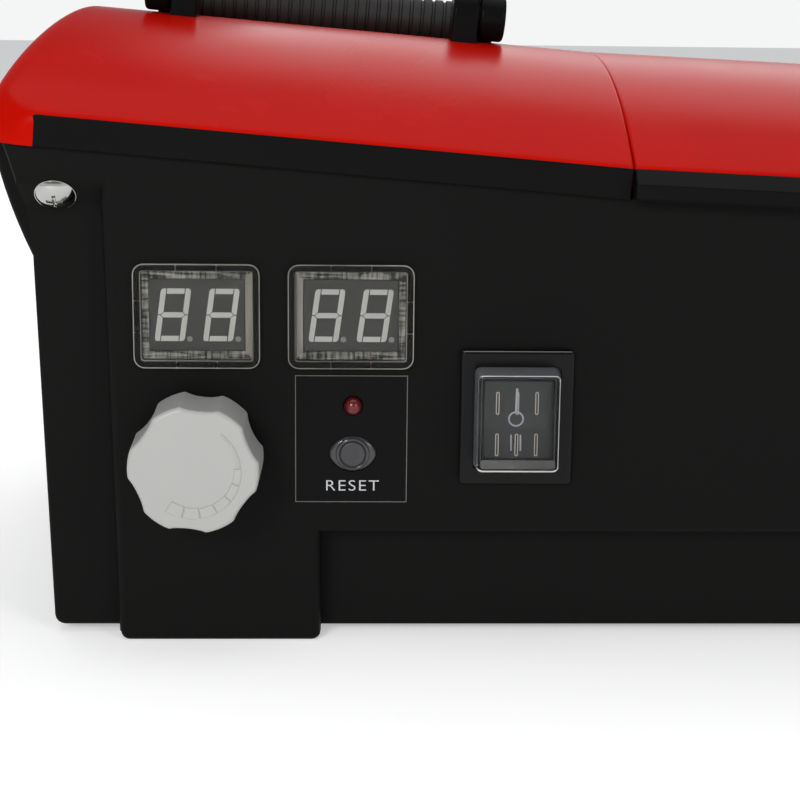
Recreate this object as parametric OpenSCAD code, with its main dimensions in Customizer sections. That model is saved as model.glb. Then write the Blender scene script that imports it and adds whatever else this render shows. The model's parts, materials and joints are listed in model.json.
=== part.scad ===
// Car battery charger: black tub with a sloping control panel rim, red hood over the
// electronics bay on the left, hinged red lid over the lead bin on the right.
// X runs left to right, the control panel faces -Y, Z is up, and the origin lies on the
// ground below the middle of the body's bounding box.

/* [Housing] */
// Half the width of the tub at its base
base_half_w = 153.8; // [140:0.1:180]
// Half the width of the tub's side walls below the rim
side_half_w = 156.5; // [142:0.1:185]
// Half the width across the flared corner columns at the rim
rim_half_w = 162.5; // [150:0.1:190]
// Height of the flare below the rim
flare_h = 32; // [15:1:50]
// Depth of the housing from control panel to rear face
body_d = 210; // [180:1:260]
// Height of the rim at the seam between hood and lid
rim_mid_z = 121.2; // [110:0.1:150]
// Slope of the rim on the hood side, degrees
slope_hood = 4.7; // [0:0.1:8]
// Slope of the rim on the lid side, degrees
slope_lid = 2.5; // [0:0.1:6]
// Wall thickness of the mouldings
wall = 2.6; // [2:0.1:4]
// Height of the floor's underside above the ground
floor_z = 4; // [2:0.1:8]
// Half the width of the raised front and rear faces at the rim
face_half_w = 138; // [130:0.1:145]
// How much narrower each side of the raised face is at the base
face_draft = 2.6; // [0:0.1:6]
// Depth of the corner channels beside the raised faces
channel_d = 7; // [4:0.1:12]
// Depth front to rear of each flared corner column
column_d = 6; // [4:0.1:10]

/* [Side bulges] */
// Half the width across the bulged sides
bulge_half_w = 169.2; // [160:0.1:200]
// Radius of the bulge's round profile
bulge_r = 61; // [50:1:90]
// Distance of each bulge from the front and rear faces
bulge_inset = 20; // [16:1:40]

/* [Feet and recess] */
// Inner edge of each foot from the centre line
foot_x0 = 80.5; // [60:0.5:100]
// Outer edge of each foot from the centre line
foot_x1 = 134; // [110:0.5:135]
// Length of each foot from front to rear
foot_d = 45; // [20:1:80]
// Corner radius of the feet
foot_r = 3; // [1:0.5:4]
// Height of the recess in the front face between the feet
recess_z = 30.1; // [20:0.1:34]
// Depth of the recess
recess_d = 8; // [4:0.1:14]

/* [Corner screws] */
// Distance of each corner screw from the centre line
screw_x = 149.5; // [145:0.1:151]
// Drop of the screw seat's middle below the rim
seat_drop = 12.5; // [10:0.1:20]
// Upward tilt of the screws, degrees
screw_tilt = 40; // [30:1:50]
// Shank radius of the corner screws
screw_r = 2; // [1.5:0.1:2.5]
// Shank length of the corner screws
screw_len = 24; // [20:1:28]
// Head radius of the corner screws
screw_head_r = 5.4; // [4:0.1:6]
// Head height of the corner screws
screw_head_h = 2.8; // [2:0.1:4]

/* [Hood and lid] */
// Height of the hood's crest above the rim
crest_h = 34.5; // [20:0.5:60]
// Radius of the hood's arch from front to rear
arch_r = 233; // [180:1:400]
// Overhang of hood and lid in front of the panel and behind the rear face
overhang = 2; // [1:0.1:5]
// Corner radius of hood and lid seen from above
cover_r = 14; // [6:1:24]
// Height of the black trim band and of the lid's lip
trim_h = 8.2; // [5:0.1:12]
// How far the lid's lip stands out in front of the hood's trim
lip_out = 4.5; // [2:0.1:8]
// Gap between hood and lid at the seam
seam_gap = 0.6; // [0.4:0.1:1.5]
// Height of the bin frame's flange on the rim
flange_h = 3; // [2:0.1:5]
// Gap under the lid
lid_gap = 0.3; // [0.2:0.1:1]
// Rear edge of the lid from the front face
lid_y1 = 186; // [160:1:195]
// Distance of the lid's hinge axis behind the lid's rear edge
hinge_back = 5; // [4.5:0.1:8]
// Height of the hinge axis above the rim
hinge_z = 12; // [8:0.1:16]
// Radius of the hinge knuckles
knuckle_r = 4; // [3:0.1:4.5]
// Radius of the hinge pin
hinge_pin_r = 1.5; // [1:0.1:2.5]

/* [Meters] */
// Distance of the left meter from the centre line
meter_x = 113; // [110:0.1:118]
// Distance between the two meters
meter_pitch = 40.4; // [38:0.1:46]
// Height of both meters
meter_z = 90; // [86:0.1:96]
// Width of a meter's clear window flange
window_w = 33.3; // [32:0.1:36]
// Height of a meter's clear window flange
window_h = 27.9; // [26:0.1:32]
// Thickness of the flange in front of the panel
window_t = 1.8; // [1:0.1:3]
// Width of the display module
module_w = 25; // [20:0.1:26]
// Height of the display module
module_h = 19; // [14:0.1:20]
// Depth of the display module
module_d = 8; // [6:0.1:10]

/* [Knob] */
// Height of the knob's axis
knob_z = 52.9; // [48:0.1:58]
// Radius over the knob's lobes
knob_r = 16.8; // [14:0.1:20]
// Height of the knob in front of the panel
knob_h = 19.5; // [14:0.1:24]
// Radius of the potentiometer's shaft
shaft_r = 3; // [2.5:0.1:4]

/* [Reset button] */
// Distance of the reset button from the centre line
reset_x = 72; // [68:0.1:76]
// Radius of the button
button_r = 2.95; // [2:0.05:4]
// Travel of the button when the breaker trips
button_travel = 3; // [2:0.1:5]
// Height of the indicator lamp
lamp_z = 66; // [63:0.1:70]

/* [Rocker switch] */
// Distance of the switch from the centre line
switch_x = 28.5; // [24:0.1:34]
// Height of the switch's middle
switch_z = 63.2; // [56:0.1:70]
// Width of the switch's bezel
bezel_w = 30.3; // [28:0.1:34]
// Height of the switch's bezel
bezel_h = 36.6; // [34:0.1:40]
// Thickness of the bezel in front of the panel
bezel_t = 2.5; // [1.5:0.1:4]
// Width of the waterproof boot at its base
boot_w = 22.8; // [21:0.1:24]
// Height of the waterproof boot at its base
boot_h = 27.6; // [26:0.1:30]
// How far the boot stands out from the bezel
boot_out = 9.5; // [8:0.1:12]

/* [Handle] */
// Width over the handle's arms
handle_w = 110; // [100:1:130]
// Distance from the handle's pivot to the middle of its grip
handle_reach = 42; // [38:1:60]
// Thickness of each handle arm
arm_t = 8; // [6:0.5:12]
// Radius of the grip bar
grip_r = 7; // [6:0.5:7]
// How far the folded handle dips to lie on the hood, degrees
handle_dip = 4; // [0:0.1:6]
// Thickness of the grip's soft sleeve
sleeve_t = 1.8; // [1:0.1:3]
// Radius of the handle's pivot pins
handle_pin_r = 3; // [2:0.1:4]

/* [Fan] */
// Side length of the fan's frame
fan_w = 60; // [50:1:80]
// Depth of the fan's frame
fan_d = 20; // [15:1:25]
// Radius of the fan's bore
fan_r = 27.5; // [22:0.5:36]

/* [Transformer] */
// Width of the iron core
core_w = 90; // [76:1:96]
// Height of the iron core
core_h = 75; // [60:1:80]
// Thickness of the iron core's stack
core_d = 45; // [30:1:60]

/* [Fits] */
// Radial clearance of shafts and pins that turn
run_gap = 0.05; // [0.02:0.01:0.1]
// Clearance of pieces that drop into openings
fit_gap = 0.25; // [0.1:0.05:0.5]

/* [Hidden] */
black = [0.1, 0.1, 0.1];
red = [0.85, 0.07, 0.05];
pale_grey = [0.74, 0.74, 0.72];
mid_grey = [0.45, 0.45, 0.44];
steel = [0.7, 0.7, 0.7];
copper = [0.75, 0.42, 0.2];
brass = [0.8, 0.65, 0.3];
board_green = [0.05, 0.3, 0.15];
clear = [0.85, 0.9, 0.92, 0.4];

// Longer than anything here, for cuts that run right through
far = 400;
// A small overlap that joins pieces of one solid
eps = 0.01;
round_fn = 96;

// Housing
mid_y = body_d / 2;
floor_top = floor_z + wall;
bulge_x = bulge_half_w - bulge_r;
column_y0 = channel_d;
column_y1 = channel_d + column_d;
flare_steps = 6;
side_vents = 8;
side_vent_y0 = 60;
side_vent_pitch = 11;
side_vent_w = 4;
side_vent_z0 = 20;
side_vent_z1 = 66;
floor_vents = 6;
floor_vent_l = 50;
floor_vent_pitch = 12;

// Corner screws
seat_h = channel_d / tan(screw_tilt);
screw_dome_r = (screw_head_r * screw_head_r + screw_head_h * screw_head_h) / (2 * screw_head_h);
cross_l = 5;
cross_w = 1.1;
cross_d = 1.6;

// Hood, trim, lid, lip and hinge
cover_y0 = -overhang;
cover_y1 = body_d + overhang;
arch_z = crest_h - arch_r;
lid_z0 = flange_h + lid_gap;
seam_lean = crest_h * sin(slope_hood - slope_lid);
trim_t = 2.4;
ledge_t = 2;
lip_bottom_z = 0.3;
lip_edge_z = 4.6;
lip_bevel = 1;
post_w = 9;
post_x1 = side_half_w - wall - fit_gap;
post_x0 = post_x1 - post_w;
post_y0 = column_y1 + fit_gap;
post_y1 = 30;
post_drop = 14;
hinge_y = lid_y1 + hinge_back;
knuckle_w = 14;
knuckle_gap = 0.4;
knuckle_xs = [24, 128];
knuckle_foot = 7;

// Meters
meter_xs = [-meter_x, meter_pitch - meter_x];
meter_mid_x = meter_pitch / 2 - meter_x;
window_r = 3;
window_border = 1.9;
window_pane_t = 1;
window_box_gap = 4.3;
window_box_d = 9.2;
cutout_w = window_w - window_box_gap;
cutout_h = window_h - window_box_gap;
module_y = 1.2;
pin_pitch = 2.54;
pin_r = 0.3;
pin_inset = 2;
pins_each_side = 5;
board_t = 1.6;
meter_board_y = module_y + module_d + 1.8;
meter_board_margin = 6.5;
meter_boss_r = 3;
meter_boss_dz = 7.5;
board_screw_r = 1.2;
board_screw_bite = 5;
board_screw_head_t = 1.4;

// Knob and potentiometer
knob_x = -meter_x;
knob_gap = 1;
knob_valley = 2.1;
knob_lobes = 6;
knob_scallop_r = 9;
knob_turn = 36;
knob_bore_d = 13;
knob_recess_r = 11;
knob_recess_d = 6;
bush_r = 4.7;
bush_out = 5;
nut_flats = 12;
nut_t = 2.4;
pot_r = 12;
pot_y0 = wall;
pot_d = 11;
pot_lug_w = 14;
pot_lug_h = 8;
pot_lug_y = 3;
pot_lug_t = 1.2;
shaft_bite = 2;

// Label, lamp and reset breaker
label_w = 29.9;
label_h = 34.8;
label_t = 0.3;
label_dx = -0.4;
label_z = 56.8;
collar_w = 13;
collar_h = 9.6;
collar_t = 0.9;
button_out = 1.5;
button_end = 6.5;
button_flange_r = 3.6;
flange_t = 1;
breaker_neck_r = 4.5;
breaker_w = 14;
breaker_z0 = 36;
breaker_z1 = 61;
breaker_y0 = 6;
breaker_d = 30;
breaker_blade_inset = 5;
lamp_r = 2.45;
lamp_flange_r = 2.9;
lamp_out = 0.8;
lamp_d = 5;

// Rocker switch
bezel_r = 1.2;
switch_body_w = 26;
switch_body_h = 32;
switch_body_d = 22;
well_w = 19.6;
well_h = 25.6;
well_d = 9;
rocker_w = 18.4;
rocker_half_h = 11.2;
rocker_end_y = -6;
rocker_dip_y = -4.2;
rocker_dip_half = 2.2;
rocker_skirt_y = -2.5;
rocker_tail_y = 6;
rocker_tail_half = 4;
rocker_axis_y = 1;
rocker_pin_r = 1.5;
rocker_pin_bite = 1.4;
boot_seat = 1.5;
boot_wall = 1;
boot_draft = 1;
blade_w = 6.3;
blade_t = 0.8;
blade_l = 9;
blade_dx = 7;
blade_dz = 10.5;

// Control board, on the left side wall
board_standoff = 10.5;
board_x = -side_half_w + board_standoff;
board_y0 = 50;
board_y1 = 150;
board_z0 = 22;
board_z1 = 102;
board_boss_r = 3.5;
board_inset = 6;
board_ys = [board_y0 + board_inset, board_y1 - board_inset];
board_zs = [board_z0 + board_inset, board_z1 - board_inset];
relay_size = [12, 24, 16];
relay_place = [57, 72];
capacitors = 2;
capacitor_r = 6;
capacitor_len = 12;
capacitor_pitch = 16;
capacitor_place = [110, 88];
block_size = [10, 32, 9];
block_place = [62, 26];
block_ways = 4;
block_hole_r = 2;
block_hole_x = 4;

// Transformer, beside the board
trans_gap = 2;
trans_x = board_x + capacitor_len + trans_gap + core_w / 2;
trans_y = 115;
trans_z = 14;
core_limb = core_w / 6;
bobbin_t = 1.5;
coil_reach = 13;
winding_gap = 0.3;
coil_z0 = trans_z + core_limb;
coil_z1 = trans_z + core_h - core_limb;
leg_x = core_limb + fit_gap;
leg_y = core_d / 2 + fit_gap;
coil_x1 = 2 * core_limb - fit_gap;
coil_y1 = core_d / 2 + coil_reach;
coil_mid = (leg_x + bobbin_t + coil_x1) / 2;
bracket_t = 2;
bracket_h = 12;
bracket_foot = 13;
trans_bolt_r = 2;
bolt_head_r = 4;
bolt_head_t = 2.6;
bolt_dx = core_w / 2 - core_limb / 2;
bolt_zs = [trans_z + core_limb / 2, trans_z + core_h - core_limb / 2];
pad_r = 6;
pad_z1 = trans_z - bracket_t;
pad_xs = [trans_x - core_w / 2 + pad_r, trans_x + core_w / 2 - pad_r];
pad_ys = [trans_y - core_d / 2 - bracket_foot + pad_r, trans_y + core_d / 2 + bracket_foot - pad_r];

// Heat sink and power parts, beside the transformer
sink_gap = 4;
sink_base_t = 4;
sink_fin_d = 16;
sink_fins = 9;
sink_fin_t = 1.6;
sink_x = trans_x + core_w / 2 + sink_gap + sink_fin_d + sink_base_t;
sink_y0 = 70;
sink_y1 = 160;
sink_z0 = 12;
sink_z1 = 82;
rail_r = 5;
rail_inset = 8;
rail_ys = [sink_y0 + rail_inset, sink_y1 - rail_inset];
bridge_w = 28.5;
bridge_t = 9;
bridge_y = 96;
bridge_z = 56;
lug_l = 4;
lug_dy = 9;
thyristor_w = 16;
thyristor_h = 20;
thyristor_t = 5;
thyristor_y = 138;
thyristor_pitch = 5;
thyristor_leg = 12;
thyristor_leg_w = 1.2;
thyristor_leg_x = 2;
thyristor_leg_t = 1;

// Fuse
fuse_x = [-34, -12];
fuse_y = [46, 60];
fuse_h = 12;
fuse_body_h = 9;
fuse_body_inset = 1.5;
fuse_body_t = 5;
fuse_blade_inset = 5;
fuse_blade_w = 5;
fuse_blade_t = 0.8;
fuse_slot_gap = 0.2;
fuse_slot_z = 4;
fuse_mid_y = (fuse_y[0] + fuse_y[1]) / 2;

// Fan and guard
fan_x = -82;
fan_z = 62;
fan_corner_r = 4;
fan_hub_r = 12;
fan_blades = 7;
fan_blade_t = 1.4;
fan_blade_l = 18;
fan_blade_pitch = 38;
fan_tip_gap = 1;
fan_end_gap = 1;
fan_hub_gap = 0.6;
fan_screw_r = 1.8;
fan_screw_out = 1;
fan_screw_head_t = 2;
fan_hole = 25;
fan_hole_inset = 5;
fan_hole_dx = fan_w / 2 - fan_hole_inset;
fan_strut_t = 3;
fan_axle_r = 1.5;
fan_axle_short = 5;
fan_y1 = body_d - wall;
fan_y0 = fan_y1 - fan_d;
fan_hub_y0 = fan_y0 + fan_strut_t + fan_hub_gap;
guard_t = 2.4;
guard_rings = [9, 15, 21, 27];
guard_wire = 1.6;

// Glands
gland_x = -25;
gland_z = 40;
gland_r = 8;
gland_flange_r = 12;
gland_out = 7;
gland_bore = 4.2;
gland_nut_t = 5;
gland_end = 1;
gland_seal_t = 2;
gland_seal_y = body_d - wall - gland_seal_t;
lead_gland_y = 62;
lead_gland_z = 58;
lead_gland_r = 7;
lead_gland_lip = 1.6;
lead_gland_rim = 2;

// Lead bin
bin_x0 = 4;
bin_x1 = 141;
bin_y0 = 13;
bin_y1 = 182;
bin_z0 = 9;
bin_wall = 2;
rear_rail_y = 200;

// Internal leads
wire_sides = 8;
bend_steps = 4;
mains_lead_r = 1.4;
mains_lead_dx = 1.8;
mains_bend = 5;
mains_route = [[0, gland_seal_y, gland_z], [0, 188, gland_z], [0, 176, 92], [0, 52, 92]];
mains_drop_y = 42;
lead_r = 1.6;
lead_dy = 2.6;
lead_bend = 2.4;
lead_run = 14;
lead_x = sink_x + bridge_t + lug_l / 2 + 0.1;

// Handle
handle_x = -84;
pivot_y = 100;
pivot_rise = 7.5;
pivot_z = crest_h + pivot_rise;
arm_half_h = 5;
bracket_w = 8;
bracket_r = 8;
bracket_screw_r = 1.8;
bracket_screw_bite = 3;
bracket_screw_top = 1;
bracket_xs = [handle_x - handle_w / 2 + arm_t + fit_gap + bracket_w / 2,
              handle_x + handle_w / 2 - arm_t - fit_gap - bracket_w / 2];

$fn = round_fn;

// ---- Shared shapes ----

function rim_z(x) = rim_mid_z - x * tan(x < 0 ? slope_hood : slope_lid);
function arch_top(y) = arch_z + sqrt(arch_r * arch_r - (y - mid_y) * (y - mid_y));
function flare_x(t) = side_half_w + (rim_half_w - side_half_w) * t * t;
function unit(v) = v / norm(v);

module box(x, y, z) {
  translate([x[0], y[0], z[0]])
    cube([x[1] - x[0], y[1] - y[0], z[1] - z[0]]);
}

module rounded(w, h, r) {
  square([w - 2 * r, h], center = true);
  square([w, h - 2 * r], center = true);
  for (sx = [-1, 1], sy = [-1, 1])
    translate([sx * (w / 2 - r), sy * (h / 2 - r)])
      circle(r = r);
}

// An outline drawn in X and Z, run from y0 to y1
module along_y(y0, y1) {
  translate([0, y1, 0])
    rotate([90, 0, 0])
      linear_extrude(y1 - y0)
        children();
}

// An outline drawn in Y and Z, run from x0 to x1
module along_x(x0, x1) {
  translate([x0, 0, 0])
    rotate([90, 0, 90])
      linear_extrude(x1 - x0)
        children();
}

module rod_y(x, z, r, y0, y1) {
  translate([x, y1, z])
    rotate([90, 0, 0])
      cylinder(r = r, h = y1 - y0);
}

module rod_x(y, z, r, x0, x1) {
  translate([x0, y, z])
    rotate([0, 90, 0])
      cylinder(r = r, h = x1 - x0);
}

// Moves the drawing, which has its panel at y = 0, so that the origin is mid-way along Y
module centred() {
  translate([0, -(body_d + gland_out - knob_h) / 2, 0])
    children();
}

module both_sides() {
  children();
  mirror([1, 0, 0])
    children();
}

module front_and_rear() {
  children();
  translate([0, body_d, 0])
    mirror([0, 1, 0])
      children();
}

// Frames in which the sloping rim is level
module hood_place() {
  translate([0, 0, rim_mid_z])
    rotate([0, slope_hood, 0])
      children();
}

module lid_place() {
  translate([0, 0, rim_mid_z])
    rotate([0, slope_lid, 0])
      children();
}

// A quadratic curve round the corner b of the route a, b, c
function corner(a, b, c, bend) = [
  for (t = [0 : 1 / bend_steps : 1])
    b + unit(a - b) * bend * (1 - t) * (1 - t) + unit(c - b) * bend * t * t
];

function bent_route(p, bend) = concat(
  [p[0]],
  [for (i = [1 : len(p) - 2]) each corner(p[i - 1], p[i], p[i + 1], bend)],
  [p[len(p) - 1]]
);

// One closed tube of radius r along a route that never runs along the vector up
module tube(route, r, up) {
  n = len(route);
  rings = [for (i = [0 : n - 1])
    let (
      ahead = unit(route[min(i + 1, n - 1)] - route[max(i - 1, 0)]),
      side = unit(cross(ahead, up)),
      top = cross(side, ahead)
    )
    for (k = [0 : wire_sides - 1])
      route[i] + r * (cos(k * 360 / wire_sides) * side + sin(k * 360 / wire_sides) * top)
  ];
  walls = [for (i = [0 : n - 2], k = [0 : wire_sides - 1])
    let (a = i * wire_sides + k, b = i * wire_sides + (k + 1) % wire_sides)
    each [[a, a + wire_sides, b], [b, a + wire_sides, b + wire_sides]]
  ];
  start = [for (k = [0 : wire_sides - 1]) k];
  end = [for (k = [wire_sides - 1 : -1 : 0]) (n - 1) * wire_sides + k];
  polyhedron(rings, concat(walls, [start, end]));
}

// ---- Lower housing ----

module below_rim() {
  along_y(-far, far)
    polygon([[-far, -far], [far, -far], [far, rim_z(far)], [0, rim_mid_z], [-far, rim_z(-far)]]);
}

module side_profile(inset, z0) {
  polygon([
    [-base_half_w + inset, z0], [base_half_w - inset, z0],
    [side_half_w - inset, rim_z(side_half_w) - flare_h], [side_half_w - inset, far],
    [-side_half_w + inset, far], [-side_half_w + inset, rim_z(-side_half_w) - flare_h]
  ]);
}

module face_profile(inset, z0) {
  polygon([
    [-face_half_w + face_draft + inset, z0], [face_half_w - face_draft - inset, z0],
    [face_half_w - inset, rim_z(face_half_w)], [face_half_w - inset, far],
    [-face_half_w + inset, far], [-face_half_w + inset, rim_z(-face_half_w)]
  ]);
}

// Outline of one flared column: side is -1 on the left and 1 on the right
module column_profile(side) {
  top = rim_z(side * rim_half_w);
  polygon(concat(
    [[side * (side_half_w - wall), top], [side * (side_half_w - wall), top - flare_h]],
    [for (i = [0 : flare_steps]) [side * flare_x(i / flare_steps), top - flare_h * (1 - i / flare_steps)]],
    [[side * rim_half_w, far], [side * (side_half_w - wall), far]]
  ));
}

module bulge_profile(side, inset) {
  intersection() {
    translate([side * bulge_x, rim_z(side * bulge_x)])
      circle(r = bulge_r - inset);
    translate([side > 0 ? bulge_x : -far, -far])
      square([far - bulge_x, 2 * far]);
  }
}

// The corner above each channel, with the tilted seat that its screw head sits on
module seat_block(side) {
  z = rim_z(side * screw_x) - seat_drop;
  intersection() {
    along_x(side < 0 ? -rim_half_w : face_half_w - wall, side < 0 ? -face_half_w + wall : rim_half_w)
      polygon([
        [0, z + seat_h / 2], [column_y1, z + seat_h / 2 - column_y1 / tan(screw_tilt)],
        [column_y1, far], [0, far]
      ]);
    along_y(-eps, column_y1) {
      column_profile(side);
      side_profile(0, floor_z);
    }
  }
}

module screw_place(side) {
  translate([side * screw_x, channel_d / 2, rim_z(side * screw_x) - seat_drop])
    rotate([screw_tilt - 90, 0, 0])
      children();
}

module housing_skin() {
  intersection() {
    below_rim();
    union() {
      along_y(channel_d, body_d - channel_d)
        side_profile(0, floor_z);
      along_y(0, body_d)
        face_profile(0, floor_z);
      front_and_rear()
        for (side = [-1, 1]) {
          along_y(column_y0, column_y1)
            column_profile(side);
          seat_block(side);
        }
      for (side = [-1, 1])
        along_y(bulge_inset, body_d - bulge_inset)
          bulge_profile(side, 0);
    }
  }
}

module feet() {
  front_and_rear()
    both_sides()
      along_y(0, foot_d)
        translate([(foot_x0 + foot_x1) / 2, recess_z / 2])
          rounded(foot_x1 - foot_x0, recess_z, foot_r);
}

module housing_hollow() {
  along_y(channel_d + wall, body_d - channel_d - wall)
    side_profile(wall, floor_top);
  along_y(wall, mid_y)
    face_profile(wall, recess_z + wall);
  along_y(mid_y - eps, body_d - wall)
    face_profile(wall, floor_top);
  for (side = [-1, 1])
    along_y(bulge_inset + wall, body_d - bulge_inset - wall)
      bulge_profile(side, wall);
  both_sides()
    box([foot_x0 + wall, foot_x1 - wall], [wall, foot_d], [floor_top, recess_z + wall + eps]);
}

module panel_openings() {
  for (x = meter_xs)
    along_y(-eps, wall + eps)
      translate([x, meter_z])
        square([cutout_w, cutout_h], center = true);
  rod_y(knob_x, knob_z, bush_r + fit_gap, -eps, wall + eps);
  rod_y(-reset_x, knob_z, breaker_neck_r + fit_gap, -eps, wall + eps);
  rod_y(-reset_x, lamp_z, lamp_r + fit_gap / 2, -eps, wall + eps);
  along_y(-eps, wall + eps)
    translate([-switch_x, switch_z])
      square([switch_body_w + fit_gap, switch_body_h + fit_gap], center = true);
}

module rear_openings() {
  rod_y(fan_x, fan_z, fan_hole, body_d - wall - eps, body_d + eps);
  fan_screw_places()
    rod_y(0, 0, fan_screw_r + fit_gap, body_d - wall - eps, body_d + eps);
  rod_y(gland_x, gland_z, gland_r + fit_gap, body_d - wall - eps, body_d + eps);
}

module vents() {
  for (i = [0 : side_vents - 1])
    box([-far, -base_half_w + 2 * wall],
        [side_vent_y0 + i * side_vent_pitch, side_vent_y0 + i * side_vent_pitch + side_vent_w],
        [side_vent_z0, side_vent_z1]);
  for (i = [0 : floor_vents - 1])
    translate([trans_x + (i - (floor_vents - 1) / 2) * floor_vent_pitch, trans_y, floor_z - eps])
      linear_extrude(wall + 2 * eps)
        rounded(side_vent_w, floor_vent_l, side_vent_w / 2 - eps);
}

module meter_screw_places() {
  for (s = [-1, 1])
    translate([meter_mid_x, 0, meter_z + s * meter_boss_dz])
      children();
}

module housing_bosses() {
  for (x = pad_xs, y = pad_ys)
    translate([x, y, floor_top - eps])
      cylinder(r = pad_r, h = pad_z1 - floor_top + eps);
  for (y = rail_ys)
    translate([sink_x - sink_base_t / 2, y, floor_top - eps])
      cylinder(r = rail_r, h = sink_z0 - floor_top + eps);
  intersection() {
    housing_skin();
    for (y = board_ys, z = board_zs)
      rod_x(y, z, board_boss_r, -far, board_x - board_t);
  }
  meter_screw_places()
    rod_y(0, 0, meter_boss_r, wall - eps, meter_board_y);
}

module boss_holes() {
  meter_screw_places()
    rod_y(0, 0, board_screw_r + run_gap, meter_board_y - board_screw_bite, meter_board_y + eps);
  for (y = board_ys, z = board_zs)
    rod_x(y, z, board_screw_r + run_gap, board_x - board_t - board_screw_bite, board_x);
}

module lower_housing() {
  color(black) centred()
    difference() {
      union() {
        difference() {
          union() {
            housing_skin();
            feet();
          }
          housing_hollow();
          box([-foot_x0, foot_x0], [-eps, recess_d], [-eps, recess_z]);
        }
        intersection() {
          box([-foot_x0 - wall, foot_x0 + wall], [recess_d, recess_d + wall], [floor_z, recess_z + wall]);
          housing_skin();
        }
        housing_bosses();
      }
      vents();
      panel_openings();
      rear_openings();
      boss_holes();
      front_and_rear()
        for (side = [-1, 1])
          screw_place(side)
            translate([0, 0, -eps])
              cylinder(r = screw_r + fit_gap, h = screw_len);
    }
}

module corner_screws() {
  color(steel) centred()
    front_and_rear()
      for (side = [-1, 1])
        screw_place(side)
          difference() {
            union() {
              cylinder(r = screw_r, h = screw_len);
              intersection() {
                translate([0, 0, screw_dome_r - screw_head_h])
                  sphere(r = screw_dome_r);
                translate([0, 0, -screw_head_h])
                  cylinder(r = screw_head_r, h = screw_head_h);
              }
            }
            for (a = [0, 90])
              rotate([0, 0, a])
                translate([-cross_l / 2, -cross_w / 2, -screw_head_h - eps])
                  cube([cross_l, cross_w, cross_d]);
          }
}

// ---- Hood, its trim, the lid, its lip and the bin frame ----

// Everything under the arched, barrel-sided outer surface; side is -1 for the hood, 1 for the lid.
// The wall beside the seam is thicker by seam_extra.
module cover_space(side, inset, y0, y1, z0, seam_extra = 0) {
  intersection() {
    translate([0, (y0 + y1) / 2, z0])
      linear_extrude(far)
        intersection() {
          rounded(2 * bulge_half_w - 2 * inset, y1 - y0, cover_r - inset);
          translate([side > 0 ? seam_gap / 2 + inset + seam_extra : -far, -far])
            square([far - seam_gap / 2 - inset - seam_extra, 2 * far]);
        }
    along_x(-far, far)
      translate([mid_y, arch_z])
        circle(r = arch_r - inset);
    along_y(-far, far)
      union() {
        translate([side * bulge_x, 0])
          circle(r = bulge_r - inset);
        translate([side > 0 ? 0 : -bulge_x, -bulge_r])
          square([bulge_x, 2 * bulge_r]);
      }
  }
}

// The upright post inside a corner that a corner screw bites into
module corner_post(side) {
  z1 = rim_z(side * screw_x);
  box(side < 0 ? [-post_x1, -post_x0] : [post_x0, post_x1], [post_y0, post_y1],
      [z1 - post_drop, z1 + crest_h]);
}

module hood_post() {
  intersection() {
    corner_post(-1);
    hood_place()
      union() {
        cover_space(-1, wall / 2, cover_y0, cover_y1, 0);
        box([-far, far], [-far, far], [-far, eps]);
      }
  }
}

// The ledge inside the hood's edge that closes the overhang and lies on the rim
module hood_ledge() {
  difference() {
    intersection() {
      cover_space(-1, wall / 2, cover_y0 + trim_t, cover_y1 - wall / 2, 0);
      box([-far, far], [-far, far], [0, ledge_t]);
    }
    box([-side_half_w + 2 * wall, far], [2 * wall, body_d - 2 * wall], [-far, far]);
    box([-bulge_half_w + 2 * wall, far], [bulge_inset + 2 * wall, body_d - bulge_inset - 2 * wall],
        [-far, far]);
  }
}

// Cuts the hood side off along the lid's own tilted edge, so that the seam is even
module hood_seam_cut() {
  lid_place()
    box([-seam_gap / 2, far], [-far, far], [-far, far]);
}

module hood() {
  color(red) centred()
    difference() {
      union() {
        hood_place() {
          difference() {
            cover_space(-1, 0, cover_y0, cover_y1, 0);
            cover_space(-1, wall, cover_y0 + wall, cover_y1 - wall, -eps, seam_lean);
            box([-far, far], [-far, cover_y0 + trim_t], [-eps, trim_h]);
          }
          box([-bulge_half_w + cover_r, -seam_gap / 2], [cover_y0 + trim_t, cover_y0 + trim_t + wall],
              [0, trim_h + wall]);
          hood_ledge();
        }
        front_and_rear()
          hood_post();
      }
      hood_seam_cut();
      front_and_rear()
        screw_place(-1)
          cylinder(r = screw_r + run_gap, h = screw_len + fit_gap);
      hood_place()
        for (x = bracket_xs)
          translate([x, pivot_y, 0])
            cylinder(r = bracket_screw_r + run_gap, h = far);
    }
}

module hood_trim() {
  color(black) centred()
    difference() {
      hood_place()
        box([-bulge_half_w + cover_r, 0], [cover_y0, cover_y0 + trim_t], [0, trim_h]);
      hood_seam_cut();
    }
}

module lid() {
  color(red) centred()
    lid_place()
      difference() {
        union() {
          difference() {
            cover_space(1, 0, cover_y0, lid_y1, lid_z0);
            cover_space(1, wall, cover_y0 + wall, lid_y1 - wall, lid_z0 - eps);
            box([-far, far], [-far, cover_y0 + trim_t], [-eps, trim_h]);
          }
          box([seam_gap / 2, bulge_half_w - cover_r], [cover_y0 + trim_t, cover_y0 + trim_t + wall],
              [lid_z0, trim_h + wall]);
          for (x = knuckle_xs) {
            rod_x(hinge_y, hinge_z, knuckle_r, x, x + knuckle_w);
            box([x, x + knuckle_w], [lid_y1 - wall, hinge_y], [hinge_z - wall, hinge_z + wall / 2]);
          }
        }
        rod_x(hinge_y, hinge_z, hinge_pin_r + run_gap, -far, far);
      }
}

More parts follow.
